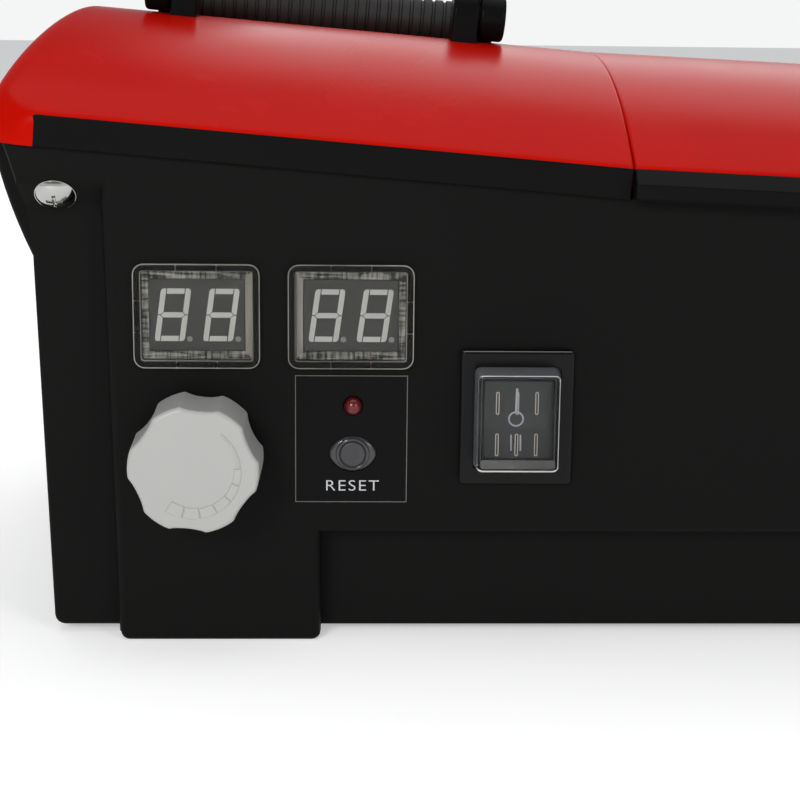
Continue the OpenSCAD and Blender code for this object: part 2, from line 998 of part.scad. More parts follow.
module lid_lip() {
  color(black) centred()
    lid_place()
      along_x(seam_gap / 2, bulge_half_w - cover_r)
        polygon([
          [cover_y0 + trim_t, lip_bottom_z], [cover_y0 - lip_out + lip_bevel, lip_bottom_z],
          [cover_y0 - lip_out, lip_bottom_z + lip_bevel],
          [cover_y0 - lip_out, lip_edge_z], [cover_y0, trim_h], [cover_y0 + trim_t, trim_h]
        ]);
}

// The bin's upper flange lies on the rim; its tub hangs inside the housing
module bin_frame() {
  color(black) centred()
    difference() {
      union() {
        lid_place() {
          difference() {
            cover_space(1, 0, trim_t, cover_y1, 0);
            translate([0, 0, flange_h])
              linear_extrude(far)
                translate([-far, -far])
                  square([2 * far, far + rear_rail_y]);
          }
          for (x = knuckle_xs)
            for (k = [x - knuckle_gap - knuckle_w, x + knuckle_w + knuckle_gap]) {
              rod_x(hinge_y, hinge_z, knuckle_r, k, k + knuckle_w);
              box([k, k + knuckle_w], [hinge_y - knuckle_foot / 2, hinge_y + knuckle_foot / 2],
                  [0, hinge_z]);
            }
        }
        front_and_rear()
          bin_post();
        intersection() {
          translate([0, 0, eps])
            below_rim();
          box([bin_x0, bin_x1], [bin_y0, bin_y1], [bin_z0, far]);
        }
      }
      box([bin_x0 + bin_wall, bin_x1 - bin_wall], [bin_y0 + bin_wall, bin_y1 - bin_wall],
          [bin_z0 + bin_wall, far]);
      lid_place()
        rod_x(hinge_y, hinge_z, hinge_pin_r, -far, far);
      front_and_rear()
        screw_place(1)
          cylinder(r = screw_r + run_gap, h = screw_len + fit_gap);
      rod_x(lead_gland_y, lead_gland_z, lead_gland_r + fit_gap, bin_x0 - eps, bin_x0 + bin_wall + eps);
    }
}

module bin_post() {
  intersection() {
    corner_post(1);
    lid_place()
      box([-far, far], [-far, far], [-far, flange_h]);
  }
}

module hinge_pin() {
  color(steel) centred()
    lid_place()
      rod_x(hinge_y, hinge_z, hinge_pin_r, knuckle_xs[0] - knuckle_w, knuckle_xs[1] + 2 * knuckle_w);
}

// ---- Carry handle ----

module handle_brackets() {
  color(black) centred()
    hood_place()
      difference() {
        for (x = bracket_xs) {
          difference() {
            union() {
              box([x - bracket_w / 2, x + bracket_w / 2], [pivot_y - bracket_r, pivot_y + bracket_r],
                  [crest_h / 2, pivot_z]);
              rod_x(pivot_y, pivot_z, bracket_r, x - bracket_w / 2, x + bracket_w / 2);
            }
            along_x(-far, far)
              translate([mid_y, arch_z])
                circle(r = arch_r);
          }
          translate([x, pivot_y, arch_top(pivot_y) - wall - bracket_screw_bite])
            cylinder(r = bracket_screw_r, h = wall + bracket_screw_bite + bracket_screw_top);
        }
        rod_x(pivot_y, pivot_z, handle_pin_r, -far, far);
      }
}

// The handle is drawn level and dips about its pivot
module handle_place() {
  hood_place()
    translate([0, pivot_y, pivot_z])
      rotate([-handle_dip, 0, 0])
        translate([0, -pivot_y, -pivot_z])
          children();
}

module carry_handle() {
  color(black) centred()
    handle_place()
      difference() {
        union() {
          for (x = [handle_x - handle_w / 2, handle_x + handle_w / 2 - arm_t]) {
            rod_x(pivot_y, pivot_z, grip_r, x, x + arm_t);
            rod_x(pivot_y + handle_reach, pivot_z, grip_r, x, x + arm_t);
            box([x, x + arm_t], [pivot_y, pivot_y + handle_reach],
                [pivot_z - arm_half_h, pivot_z + arm_half_h]);
          }
          rod_x(pivot_y + handle_reach, pivot_z, grip_r - sleeve_t, handle_x - handle_w / 2,
                handle_x + handle_w / 2);
        }
        rod_x(pivot_y, pivot_z, handle_pin_r + run_gap, -far, far);
      }
}

module handle_grip() {
  color(black) centred()
    handle_place()
      difference() {
        rod_x(pivot_y + handle_reach, pivot_z, grip_r, handle_x - handle_w / 2 + arm_t,
              handle_x + handle_w / 2 - arm_t);
        rod_x(pivot_y + handle_reach, pivot_z, grip_r - sleeve_t, -far, far);
      }
}

module handle_pins() {
  color(steel) centred()
    hood_place()
      for (x = bracket_xs)
        rod_x(pivot_y, pivot_z, handle_pin_r, x - bracket_w / 2 - (x < handle_x ? arm_t + fit_gap : 0),
              x + bracket_w / 2 + (x > handle_x ? arm_t + fit_gap : 0));
}

// ---- Meters ----

module meter_window(x) {
  color(clear) centred()
    translate([x, 0, meter_z])
      difference() {
        union() {
          along_y(-window_t, 0)
            rounded(window_w, window_h, window_r);
          along_y(-eps, window_box_d)
            square([cutout_w - fit_gap, cutout_h - fit_gap], center = true);
        }
        along_y(-window_t - eps, window_pane_t - window_t)
          square([window_w - 2 * window_border, window_h - 2 * window_border], center = true);
        along_y(window_pane_t, window_box_d + eps)
          square([module_w + fit_gap, module_h + fit_gap], center = true);
      }
}

module meter_window_left() {
  meter_window(meter_xs[0]);
}

module meter_window_right() {
  meter_window(meter_xs[1]);
}

module meter_module(x) {
  color(mid_grey) centred()
    translate([x, 0, meter_z]) {
      along_y(module_y, module_y + module_d)
        square([module_w, module_h], center = true);
      for (i = [0 : pins_each_side - 1], s = [-1, 1])
        rod_y((i - (pins_each_side - 1) / 2) * pin_pitch, s * (module_h / 2 - pin_inset), pin_r,
              module_y + module_d - eps, meter_board_y);
    }
}

module meter_module_left() {
  meter_module(meter_xs[0]);
}

module meter_module_right() {
  meter_module(meter_xs[1]);
}

module meter_board() {
  color(board_green) centred()
    difference() {
      along_y(meter_board_y, meter_board_y + board_t)
        translate([meter_mid_x, meter_z])
          square([meter_pitch + module_w + meter_board_margin, module_h + meter_board_margin],
                 center = true);
      meter_screw_places()
        rod_y(0, 0, board_screw_r + run_gap, 0, far);
    }
}

module meter_board_screws() {
  color(steel) centred()
    meter_screw_places() {
      rod_y(0, 0, board_screw_r, meter_board_y - board_screw_bite + fit_gap,
            meter_board_y + board_t + board_screw_head_t / 2);
      rod_y(0, 0, 2 * board_screw_r, meter_board_y + board_t, meter_board_y + board_t + board_screw_head_t);
    }
}

// ---- Knob and potentiometer ----

module current_knob() {
  color(pale_grey) centred()
    difference() {
      rod_y(knob_x, knob_z, knob_r, -knob_h, -knob_gap);
      for (i = [0 : knob_lobes - 1])
        translate([knob_x, 0, knob_z])
          rotate([0, knob_turn + i * 360 / knob_lobes, 0])
            rod_y(knob_r - knob_valley + knob_scallop_r, 0, knob_scallop_r, -far, far);
      rod_y(knob_x, knob_z, shaft_r, -knob_gap - knob_bore_d, 0);
      rod_y(knob_x, knob_z, knob_recess_r, -knob_gap - knob_recess_d, 0);
    }
}

module potentiometer_shaft() {
  color(steel) centred()
    rod_y(knob_x, knob_z, shaft_r, -knob_gap - knob_bore_d, pot_y0 + shaft_bite);
}

module potentiometer_body() {
  color(mid_grey) centred()
    difference() {
      union() {
        rod_y(knob_x, knob_z, pot_r, pot_y0, pot_y0 + pot_d);
        rod_y(knob_x, knob_z, bush_r, -bush_out, pot_y0 + eps);
        box([knob_x - pot_lug_w / 2, knob_x + pot_lug_w / 2],
            [pot_y0 + pot_lug_y, pot_y0 + pot_lug_y + pot_lug_t],
            [knob_z - pot_r - pot_lug_h, knob_z]);
      }
      rod_y(knob_x, knob_z, shaft_r + run_gap, -far, pot_y0 + shaft_bite + fit_gap);
    }
}

module potentiometer_nut() {
  color(steel) centred()
    difference() {
      translate([knob_x, 0, knob_z])
        rotate([90, 0, 0])
          cylinder(r = nut_flats / sqrt(3), h = nut_t, $fn = 6);
      rod_y(knob_x, knob_z, bush_r, -far, far);
    }
}

// ---- Label, lamp and reset breaker ----

module collar_outline(grow) {
  d = collar_w / 2;
  h = collar_h / 2;
  lens_r = (d * d + h * h) / (2 * h);
  intersection() {
    translate([0, h - lens_r])
      circle(r = lens_r + grow);
    translate([0, lens_r - h])
      circle(r = lens_r + grow);
  }
}

module panel_label() {
  color(black) centred()
    difference() {
      along_y(-label_t, 0)
        translate([-reset_x + label_dx, label_z])
          square([label_w, label_h], center = true);
      along_y(-far, far)
        translate([-reset_x, knob_z])
          collar_outline(fit_gap);
      rod_y(-reset_x, lamp_z, lamp_r + fit_gap, -far, far);
    }
}

module reset_collar() {
  color(mid_grey) centred()
    difference() {
      along_y(-collar_t, 0)
        translate([-reset_x, knob_z])
          collar_outline(0);
      rod_y(-reset_x, knob_z, button_r + run_gap, -far, far);
    }
}

module reset_button() {
  color(mid_grey) centred() {
    rod_y(-reset_x, knob_z, button_r, -button_out, button_end - flange_t + eps);
    rod_y(-reset_x, knob_z, button_flange_r, button_end - flange_t, button_end);
  }
}

module breaker_body() {
  color(black) centred()
    difference() {
      union() {
        box([-reset_x - breaker_w / 2, -reset_x + breaker_w / 2], [breaker_y0, breaker_y0 + breaker_d],
            [breaker_z0, breaker_z1]);
        rod_y(-reset_x, knob_z, breaker_neck_r, 0, breaker_y0 + eps);
        for (z = [breaker_z0 + breaker_blade_inset, breaker_z1 - breaker_blade_inset])
          box([-reset_x - blade_w / 2, -reset_x + blade_w / 2],
              [breaker_y0, breaker_y0 + breaker_d + blade_l], [z - blade_t / 2, z + blade_t / 2]);
      }
      rod_y(-reset_x, knob_z, button_r + run_gap, -eps, button_end);
      rod_y(-reset_x, knob_z, button_flange_r + run_gap, button_end - flange_t - button_travel - fit_gap,
            button_end + fit_gap);
    }
}

module indicator_lamp() {
  color(red) centred()
    union() {
      rod_y(-reset_x, lamp_z, lamp_r, -lamp_out, lamp_d);
      rod_y(-reset_x, lamp_z, lamp_flange_r, wall, wall + flange_t);
      intersection() {
        translate([-reset_x, -lamp_out, lamp_z])
          sphere(r = lamp_r);
        rod_y(-reset_x, lamp_z, lamp_r, -lamp_out - lamp_r, 0);
      }
      for (s = [-1, 1])
        rod_y(-reset_x + s * pin_pitch / 2, lamp_z, pin_r, lamp_d - eps, meter_board_y);
    }
}

// ---- Rocker switch ----

module switch_bezel() {
  color(black) centred()
    translate([-switch_x, 0, switch_z])
      difference() {
        union() {
          along_y(-bezel_t, 0)
            rounded(bezel_w, bezel_h, bezel_r);
          along_y(-eps, switch_body_d)
            square([switch_body_w, switch_body_h], center = true);
        }
        along_y(-far, well_d)
          square([well_w, well_h], center = true);
        along_y(-bezel_t - eps, boot_seat - bezel_t)
          square([boot_w + 2 * fit_gap, boot_h + 2 * fit_gap], center = true);
        rod_x(rocker_axis_y, 0, rocker_pin_r + run_gap, -well_w / 2 - rocker_pin_bite - fit_gap,
              well_w / 2 + rocker_pin_bite + fit_gap);
      }
}

module switch_rocker() {
  color(mid_grey) centred()
    translate([-switch_x, 0, switch_z])
      union() {
        along_x(-rocker_w / 2, rocker_w / 2)
          difference() {
            polygon([
              [rocker_end_y, -rocker_half_h], [rocker_dip_y, -rocker_dip_half],
              [rocker_dip_y, rocker_dip_half], [rocker_end_y, rocker_half_h],
              [rocker_skirt_y, rocker_half_h], [rocker_tail_y, rocker_tail_half],
              [rocker_tail_y, -rocker_tail_half], [rocker_skirt_y, -rocker_half_h]
            ]);
            translate([rocker_axis_y, 0])
              circle(r = rocker_pin_r - eps);
          }
        rod_x(rocker_axis_y, 0, rocker_pin_r, -well_w / 2 - rocker_pin_bite, well_w / 2 + rocker_pin_bite);
      }
}

module boot_space(inset, out) {
  y0 = boot_seat - bezel_t;
  intersection() {
    translate([0, 0, -far / 2])
      linear_extrude(far)
        polygon([
          [-boot_w / 2 + inset, y0 + eps], [boot_w / 2 - inset, y0 + eps],
          [boot_w / 2 - inset - boot_draft, -bezel_t - out],
          [-boot_w / 2 + inset + boot_draft, -bezel_t - out]
        ]);
    along_x(-far / 2, far / 2)
      polygon([
        [y0 + eps, -boot_h / 2 + inset], [y0 + eps, boot_h / 2 - inset],
        [-bezel_t - out, boot_h / 2 - inset - boot_draft],
        [-bezel_t - out, -boot_h / 2 + inset + boot_draft]
      ]);
  }
}

module switch_boot() {
  color(clear) centred()
    translate([-switch_x, 0, switch_z])
      difference() {
        translate([0, -eps, 0])
          boot_space(0, boot_out);
        boot_space(boot_wall, boot_out - boot_wall);
      }
}

module switch_terminals() {
  color(brass) centred()
    translate([-switch_x, 0, switch_z])
      for (x = [-blade_dx, blade_dx], z = [-blade_dz, 0, blade_dz])
        box([x - blade_w / 2, x + blade_w / 2], [switch_body_d, switch_body_d + blade_l],
            [z - blade_t / 2, z + blade_t / 2]);
}

// ---- Transformer ----

module transformer_core() {
  color(mid_grey) centred()
    translate([trans_x, trans_y, 0])
      difference() {
        box([-core_w / 2, core_w / 2], [-core_d / 2, core_d / 2], [trans_z, trans_z + core_h]);
        for (s = [-1, 1])
          translate([s * 1.5 * core_limb, 0, (coil_z0 + coil_z1) / 2])
            cube([core_limb, far, coil_z1 - coil_z0], center = true);
        for (sx = [-1, 1], z = bolt_zs)
          rod_y(sx * bolt_dx, z, trans_bolt_r + run_gap, -far, far);
      }
}

module coil_ring(x0, y0, x1, y1, z0, z1, r) {
  translate([trans_x, trans_y, z0])
    linear_extrude(z1 - z0)
      difference() {
        rounded(2 * x1, 2 * y1, r);
        square([2 * x0, 2 * y0], center = true);
      }
}

module transformer_bobbin() {
  color(black) centred() {
    coil_ring(leg_x, leg_y, leg_x + bobbin_t, leg_y + bobbin_t, coil_z0 + fit_gap, coil_z1 - fit_gap, 1);
    for (z = [coil_z0 + fit_gap, coil_z1 - fit_gap - bobbin_t])
      coil_ring(leg_x, leg_y, coil_x1, coil_y1, z, z + bobbin_t, 3);
  }
}

module primary_winding() {
  color(copper) centred()
    coil_ring(leg_x + bobbin_t, leg_y + bobbin_t, coil_mid - winding_gap,
              coil_y1 - coil_x1 + coil_mid - winding_gap,
              coil_z0 + fit_gap + bobbin_t, coil_z1 - fit_gap - bobbin_t, 2);
}

module secondary_winding() {
  color(copper) centred()
    coil_ring(coil_mid - winding_gap, coil_y1 - coil_x1 + coil_mid - winding_gap, coil_x1 - 1, coil_y1 - 1,
              coil_z0 + fit_gap + bobbin_t, coil_z1 - fit_gap - bobbin_t, 3);
}

module transformer_brackets() {
  color(steel) centred()
    for (s = [-1, 1])
      translate([trans_x, trans_y, 0])
        difference() {
          union() {
            box([-core_w / 2, core_w / 2],
                s < 0 ? [-core_d / 2 - bracket_t, -core_d / 2] : [core_d / 2, core_d / 2 + bracket_t],
                [pad_z1, trans_z + bracket_h]);
            box([-core_w / 2, core_w / 2],
                s < 0 ? [-core_d / 2 - bracket_foot, -core_d / 2] : [core_d / 2, core_d / 2 + bracket_foot],
                [pad_z1, pad_z1 + bracket_t]);
          }
          for (sx = [-1, 1])
            rod_y(sx * bolt_dx, bolt_zs[0], trans_bolt_r + run_gap, -far, far);
        }
}

module transformer_bolts() {
  color(steel) centred()
    translate([trans_x, trans_y, 0])
      for (sx = [-1, 1], i = [0, 1]) {
        reach = core_d / 2 + (i == 0 ? bracket_t : 0);
        rod_y(sx * bolt_dx, bolt_zs[i], trans_bolt_r, -reach, reach + bolt_head_t);
        for (y = [-reach - bolt_head_t, reach])
          translate([sx * bolt_dx, y + bolt_head_t, bolt_zs[i]])
            rotate([90, 0, 0])
              cylinder(r = bolt_head_r, h = bolt_head_t, $fn = 6);
      }
}

// ---- Heat sink and power parts ----

module heat_sink() {
  color(steel) centred() {
    box([sink_x - sink_base_t, sink_x], [sink_y0, sink_y1], [sink_z0, sink_z1]);
    for (i = [0 : sink_fins - 1]) {
      z = sink_z0 + i * (sink_z1 - sink_z0 - sink_fin_t) / (sink_fins - 1);
      box([sink_x - sink_base_t - sink_fin_d, sink_x - sink_base_t + eps], [sink_y0, sink_y1],
          [z, z + sink_fin_t]);
    }
  }
}

module bridge_rectifier() {
  color(black) centred()
    translate([sink_x, bridge_y, bridge_z]) {
      box([0, bridge_t], [-bridge_w / 2, bridge_w / 2], [-bridge_w / 2, bridge_w / 2]);
      for (sy = [-1, 1], sz = [-1, 1])
        box([bridge_t - eps, bridge_t + lug_l], [sy * lug_dy - blade_w / 2, sy * lug_dy + blade_w / 2],
            [sz * lug_dy - blade_t / 2, sz * lug_dy + blade_t / 2]);
    }
}

module thyristor() {
  color(black) centred()
    translate([sink_x, thyristor_y, bridge_z]) {
      box([0, thyristor_t], [-thyristor_w / 2, thyristor_w / 2], [-thyristor_h / 2, thyristor_h / 2]);
      for (i = [-1 : 1])
        box([thyristor_leg_x, thyristor_leg_x + thyristor_leg_t],
            [i * thyristor_pitch - thyristor_leg_w / 2, i * thyristor_pitch + thyristor_leg_w / 2],
            [-thyristor_h / 2 - thyristor_leg, -thyristor_h / 2 + eps]);
    }
}

// ---- Control board ----

module control_board() {
  color(board_green) centred()
    difference() {
      box([board_x - board_t, board_x], [board_y0, board_y1], [board_z0, board_z1]);
      for (y = board_ys, z = board_zs)
        rod_x(y, z, board_screw_r + run_gap, -far, 0);
    }
}

module board_part(size, place) {
  box([board_x, board_x + size[0]], [place[0], place[0] + size[1]], [place[1], place[1] + size[2]]);
}

module relay() {
  color(black) centred()
    board_part(relay_size, relay_place);
}

module filter_capacitor() {
  color(black) centred()
    for (i = [0 : capacitors - 1])
      rod_x(capacitor_place[0] + i * capacitor_pitch, capacitor_place[1], capacitor_r,
            board_x, board_x + capacitor_len);
}

module terminal_block() {
  color(board_green) centred()
    difference() {
      board_part(block_size, block_place);
      for (i = [0 : block_ways - 1])
        rod_x(block_place[0] + (i + 0.5) * block_size[1] / block_ways, block_place[1] + block_size[2] / 2,
              block_hole_r, board_x + block_hole_x, 0);
    }
}

module board_screws() {
  color(steel) centred()
    for (y = board_ys, z = board_zs) {
      rod_x(y, z, board_screw_r, board_x - board_t - board_screw_bite + fit_gap,
            board_x + board_screw_head_t / 2);
      rod_x(y, z, 2 * board_screw_r, board_x, board_x + board_screw_head_t);
    }
}

// ---- Fuse ----

module fuse_blades(gap, z0, z1) {
  for (x = [fuse_x[0] + fuse_blade_inset, fuse_x[1] - fuse_blade_inset])
    box([x - fuse_blade_w / 2 - gap, x + fuse_blade_w / 2 + gap],
        [fuse_mid_y - fuse_blade_t / 2 - gap, fuse_mid_y + fuse_blade_t / 2 + gap],
        [floor_top + z0, floor_top + z1]);
}

module fuse_holder() {
  color(black) centred()
    difference() {
      box(fuse_x, fuse_y, [floor_top, floor_top + fuse_h]);
      fuse_blades(fuse_slot_gap, fuse_slot_z, far);
    }
}

module blade_fuse() {
  color(red) centred() {
    box([fuse_x[0] + fuse_body_inset, fuse_x[1] - fuse_body_inset],
        [fuse_mid_y - fuse_body_t / 2, fuse_mid_y + fuse_body_t / 2],
        [floor_top + fuse_h, floor_top + fuse_h + fuse_body_h]);
    fuse_blades(0, fuse_slot_z + 1, fuse_h + eps);
  }
}

// ---- Fan ----

module fan_screw_places() {
  for (sx = [-1, 1], sz = [-1, 1])
    translate([fan_x + sx * fan_hole_dx, 0, fan_z + sz * fan_hole_dx])
      children();
}

module fan_frame() {
  color(black) centred()
    difference() {
      union() {
        difference() {
          along_y(fan_y0, fan_y1)
            translate([fan_x, fan_z])
              rounded(fan_w, fan_w, fan_corner_r);
          rod_y(fan_x, fan_z, fan_r, -far, far);
        }
        for (a = [0, 90])
          translate([fan_x, fan_y0 + fan_strut_t / 2, fan_z])
            rotate([0, a + 45, 0])
              cube([2 * fan_r + 1, fan_strut_t, fan_strut_t], center = true);
        rod_y(fan_x, fan_z, fan_hub_r, fan_y0, fan_y0 + fan_strut_t);
        rod_y(fan_x, fan_z, fan_axle_r, fan_y0, fan_y1 - fan_axle_short);
      }
      fan_screw_places()
        rod_y(0, 0, fan_screw_r + run_gap, fan_y0 - eps, fan_y1 + eps);
    }
}

module fan_rotor() {
  color(black) centred()
    difference() {
      union() {
        rod_y(fan_x, fan_z, fan_hub_r, fan_hub_y0, fan_y1 - 2 * fan_end_gap);
        intersection() {
          for (i = [0 : fan_blades - 1])
            translate([fan_x, (fan_y0 + fan_strut_t + fan_y1) / 2, fan_z])
              rotate([0, i * 360 / fan_blades, 0])
                rotate([fan_blade_pitch, 0, 0])
                  translate([fan_hub_r - 1, -fan_blade_t / 2, -fan_blade_l / 2])
                    cube([fan_r - fan_hub_r, fan_blade_t, fan_blade_l]);
          rod_y(fan_x, fan_z, fan_r - fan_tip_gap, fan_hub_y0, fan_y1 - fan_end_gap);
        }
      }
      rod_y(fan_x, fan_z, fan_axle_r + run_gap, fan_y0, fan_y1 - fan_axle_short + fit_gap);
    }
}

module fan_guard() {
  color(black) centred()
    difference() {
      along_y(body_d, body_d + guard_t)
        translate([fan_x, fan_z])
          difference() {
            union() {
              difference() {
                rounded(fan_w, fan_w, fan_corner_r);
                circle(r = fan_r);
              }
              for (r = guard_rings)
                difference() {
                  circle(r = r + guard_wire);
                  circle(r = r);
                }
              for (a = [0, 90])
                rotate(a + 45)
                  square([2 * fan_r + 2, 2 * guard_wire], center = true);
            }
          }
      fan_screw_places()
        rod_y(0, 0, fan_screw_r + run_gap, body_d - eps, body_d + guard_t + eps);
    }
}

module fan_screws() {
  color(steel) centred()
    fan_screw_places() {
      rod_y(0, 0, fan_screw_r, fan_y0, body_d + guard_t + fan_screw_out);
      rod_y(0, 0, 2 * fan_screw_r, body_d + guard_t, body_d + guard_t + fan_screw_head_t);
    }
}

// ---- Glands and internal leads ----

module mains_gland() {
  color(black) centred()
    difference() {
      union() {
        rod_y(gland_x, gland_z, gland_r, body_d - wall - gland_nut_t - gland_end, body_d + eps);
        rod_y(gland_x, gland_z, gland_flange_r, body_d, body_d + gland_out / 2);
        rod_y(gland_x, gland_z, gland_r, body_d, body_d + gland_out);
      }
      rod_y(gland_x, gland_z, gland_bore, gland_seal_y, far);
      for (s = [-1, 1])
        rod_y(gland_x + s * mains_lead_dx, gland_z, mains_lead_r, -far, far);
    }
}

module mains_gland_nut() {
  color(black) centred()
    difference() {
      translate([gland_x, body_d - wall, gland_z])
        rotate([90, 0, 0])
          cylinder(r = gland_flange_r, h = gland_nut_t, $fn = 6);
      rod_y(gland_x, gland_z, gland_r, -far, far);
    }
}

module lead_gland() {
  color(black) centred()
    difference() {
      union() {
        rod_x(lead_gland_y, lead_gland_z, lead_gland_r,
              bin_x0 - lead_gland_lip, bin_x0 + bin_wall + lead_gland_lip);
        for (x = [bin_x0 - lead_gland_lip, bin_x0 + bin_wall])
          rod_x(lead_gland_y, lead_gland_z, lead_gland_r + lead_gland_rim, x, x + lead_gland_lip);
      }
      for (s = [-1, 1])
        rod_x(lead_gland_y + s * lead_dy, lead_gland_z, lead_r, -far, far);
    }
}

// Two insulated wires from the gland over the heat sink to the switch's middle blades
module mains_leads() {
  color(black) centred()
    for (s = [-1, 1])
      tube(bent_route(concat(
        [for (p = mains_route) p + [gland_x + s * mains_lead_dx, 0, 0]],
        [[-switch_x + s * blade_dx, mains_drop_y, switch_z],
         [-switch_x + s * blade_dx, switch_body_d + blade_l, switch_z]]
      ), mains_bend), mains_lead_r, [1, 0, 0]);
}

// Two thick wires from the rectifier's lugs to the lead gland
module output_leads() {
  color(red) centred()
    for (s = [-1, 1])
      tube(bent_route([
        [lead_x, bridge_y - lug_dy - blade_w / 2, bridge_z + s * lug_dy],
        [lead_x, lead_gland_y + lead_run, bridge_z + s * lug_dy],
        [lead_x, lead_gland_y + s * lead_dy, lead_gland_z + s * lead_dy],
        [lead_x / 3, lead_gland_y + s * lead_dy, lead_gland_z],
        [bin_x0 + bin_wall + lead_gland_lip, lead_gland_y + s * lead_dy, lead_gland_z]
      ], lead_bend), lead_r, [0, 0, 1]);
}

lower_housing();
hood();
hood_trim();
lid();
lid_lip();
bin_frame();
hinge_pin();
corner_screws();
carry_handle();
handle_grip();
handle_brackets();
handle_pins();
meter_window_left();
meter_window_right();
meter_module_left();
meter_module_right();
meter_board();
meter_board_screws();
current_knob();
potentiometer_shaft();
potentiometer_body();
potentiometer_nut();
panel_label();
reset_collar();
reset_button();
breaker_body();
indicator_lamp();
switch_bezel();
switch_rocker();
switch_boot();
switch_terminals();
transformer_core();
transformer_bobbin();
primary_winding();
secondary_winding();
transformer_brackets();
transformer_bolts();
heat_sink();
bridge_rectifier();
thyristor();
control_board();
relay();
filter_capacitor();
terminal_block();
board_screws();
fuse_holder();
blade_fuse();
fan_frame();
fan_rotor();
fan_guard();
fan_screws();
mains_gland();
mains_gland_nut();
lead_gland();
mains_leads();
output_leads();
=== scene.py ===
import json
import math

import bmesh
import bpy
from mathutils import Matrix, Vector


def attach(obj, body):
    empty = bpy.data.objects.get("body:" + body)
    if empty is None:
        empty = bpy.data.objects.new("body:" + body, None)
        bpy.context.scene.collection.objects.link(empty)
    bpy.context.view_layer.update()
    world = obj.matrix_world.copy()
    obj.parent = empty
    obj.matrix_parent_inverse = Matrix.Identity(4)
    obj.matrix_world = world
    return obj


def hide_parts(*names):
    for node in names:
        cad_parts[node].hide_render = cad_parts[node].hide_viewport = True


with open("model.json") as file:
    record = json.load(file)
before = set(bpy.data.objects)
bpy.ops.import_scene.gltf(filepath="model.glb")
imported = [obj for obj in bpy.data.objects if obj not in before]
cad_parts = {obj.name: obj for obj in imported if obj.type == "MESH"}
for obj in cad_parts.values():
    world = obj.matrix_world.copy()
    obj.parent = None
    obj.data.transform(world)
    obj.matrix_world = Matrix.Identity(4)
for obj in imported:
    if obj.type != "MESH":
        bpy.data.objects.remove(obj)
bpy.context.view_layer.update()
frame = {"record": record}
scene = bpy.context.scene

# ---- Camera ----
# The viewer stands in front of the control panel and looks a little down on it.
# A long lens keeps the panel's upright edges nearly parallel.
MM = 0.001
camera_place = Vector((-74.4, -565.15, 172.6)) * MM
camera_pitch = math.radians(12.69)
camera_yaw = math.radians(1.83)
camera_roll = math.radians(0.63)
ahead = Vector((math.sin(camera_yaw) * math.cos(camera_pitch),
                math.cos(camera_yaw) * math.cos(camera_pitch),
                -math.sin(camera_pitch)))
level = ahead.cross(Vector((0, 0, 1))).normalized()
upright = level.cross(ahead)
camera_x = level * math.cos(camera_roll) + upright * math.sin(camera_roll)
camera_y = upright * math.cos(camera_roll) - level * math.sin(camera_roll)
camera = bpy.data.objects.new("camera", bpy.data.cameras.new("camera"))
camera.data.sensor_width = 36
camera.data.lens = 81
camera.data.clip_start = 0.01
camera.matrix_world = (Matrix.Translation(camera_place)
                       @ Matrix((camera_x, camera_y, -ahead)).transposed().to_4x4())
scene.collection.objects.link(camera)
scene.camera = camera
scene.view_settings.view_transform = "Standard"

# ---- Studio ----
# A pale sweep of floor and large soft boxes, the strongest ahead of the panel and above it.
# The room behind the camera is dim, so that the black mouldings stay black.


def linear(colour):
    """A colour written as sRGB hex, such as "#1a1a19", as linear RGBA."""
    parts = [int(colour[i:i + 2], 16) / 255 for i in (1, 3, 5)]
    return [p / 12.92 if p <= 0.04045 else ((p + 0.055) / 1.055) ** 2.4 for p in parts] + [1.0]


def feed(node, links):
    """Sets a node's inputs to values, or links them to the outputs of other nodes."""
    for name, value in dict(links).items():
        if isinstance(value, bpy.types.NodeSocket):
            node.id_data.links.new(value, node.inputs[name])
        else:
            node.inputs[name].default_value = value


def add_node(tree, kind, links=(), stops=(), **settings):
    """Adds a node to a tree with its own settings, its colour stops and its inputs."""
    node = tree.nodes.new(kind)
    for name, value in settings.items():
        setattr(node, name, value)
    for i, (position, colour) in enumerate(stops):
        node.color_ramp.elements[i].position = position
        node.color_ramp.elements[i].color = linear(colour)
    feed(node, links)
    return node


def plain_material(name, **shader):
    """A material whose Principled shader has these constants on its own sockets."""
    material = bpy.data.materials.new(name)
    material.use_nodes = True
    surface = material.node_tree.nodes["Principled BSDF"]
    for socket, value in shader.items():
        surface.inputs[socket.replace("_", " ")].default_value = value
    return material, material.node_tree, surface


def mesh_object(name, points, faces, *materials):
    """A mesh object at the origin, from points in millimetres."""
    mesh = bpy.data.meshes.new(name)
    mesh.from_pydata([[c * MM for c in p] for p in points], [], faces)
    obj = bpy.data.objects.new(name, mesh)
    scene.collection.objects.link(obj)
    for material in materials:
        mesh.materials.append(material)
    return obj


floor_half = 6000
# A matt paint without sheen, a little self-lit so that the sweep stays even
floor_paint = plain_material("matt white studio floor", Base_Color=linear("#e9e9e7"),
                             Emission_Color=linear("#ffffff"), Emission_Strength=0.4,
                             Roughness=0.9)[0]
floor_corners = [(-floor_half, -floor_half, 0), (floor_half, -floor_half, 0),
                 (floor_half, floor_half, 0), (-floor_half, floor_half, 0)]
floor = mesh_object("floor", floor_corners, [(0, 1, 2, 3)], floor_paint)

room = bpy.data.worlds.new("dim studio")
room.use_nodes = True
# Beyond the floor's far edge the backdrop is as pale as the floor
height = add_node(room.node_tree, "ShaderNodeSeparateXYZ",
                  {"Vector": add_node(room.node_tree, "ShaderNodeTexCoord").outputs["Generated"]})
fade = add_node(room.node_tree, "ShaderNodeValToRGB", {"Fac": height.outputs["Z"]},
                ((0.02, "#f4f5f5"), (0.16, "#7f8285")))
feed(room.node_tree.nodes["Background"], {"Color": fade.outputs[0]})
scene.world = room


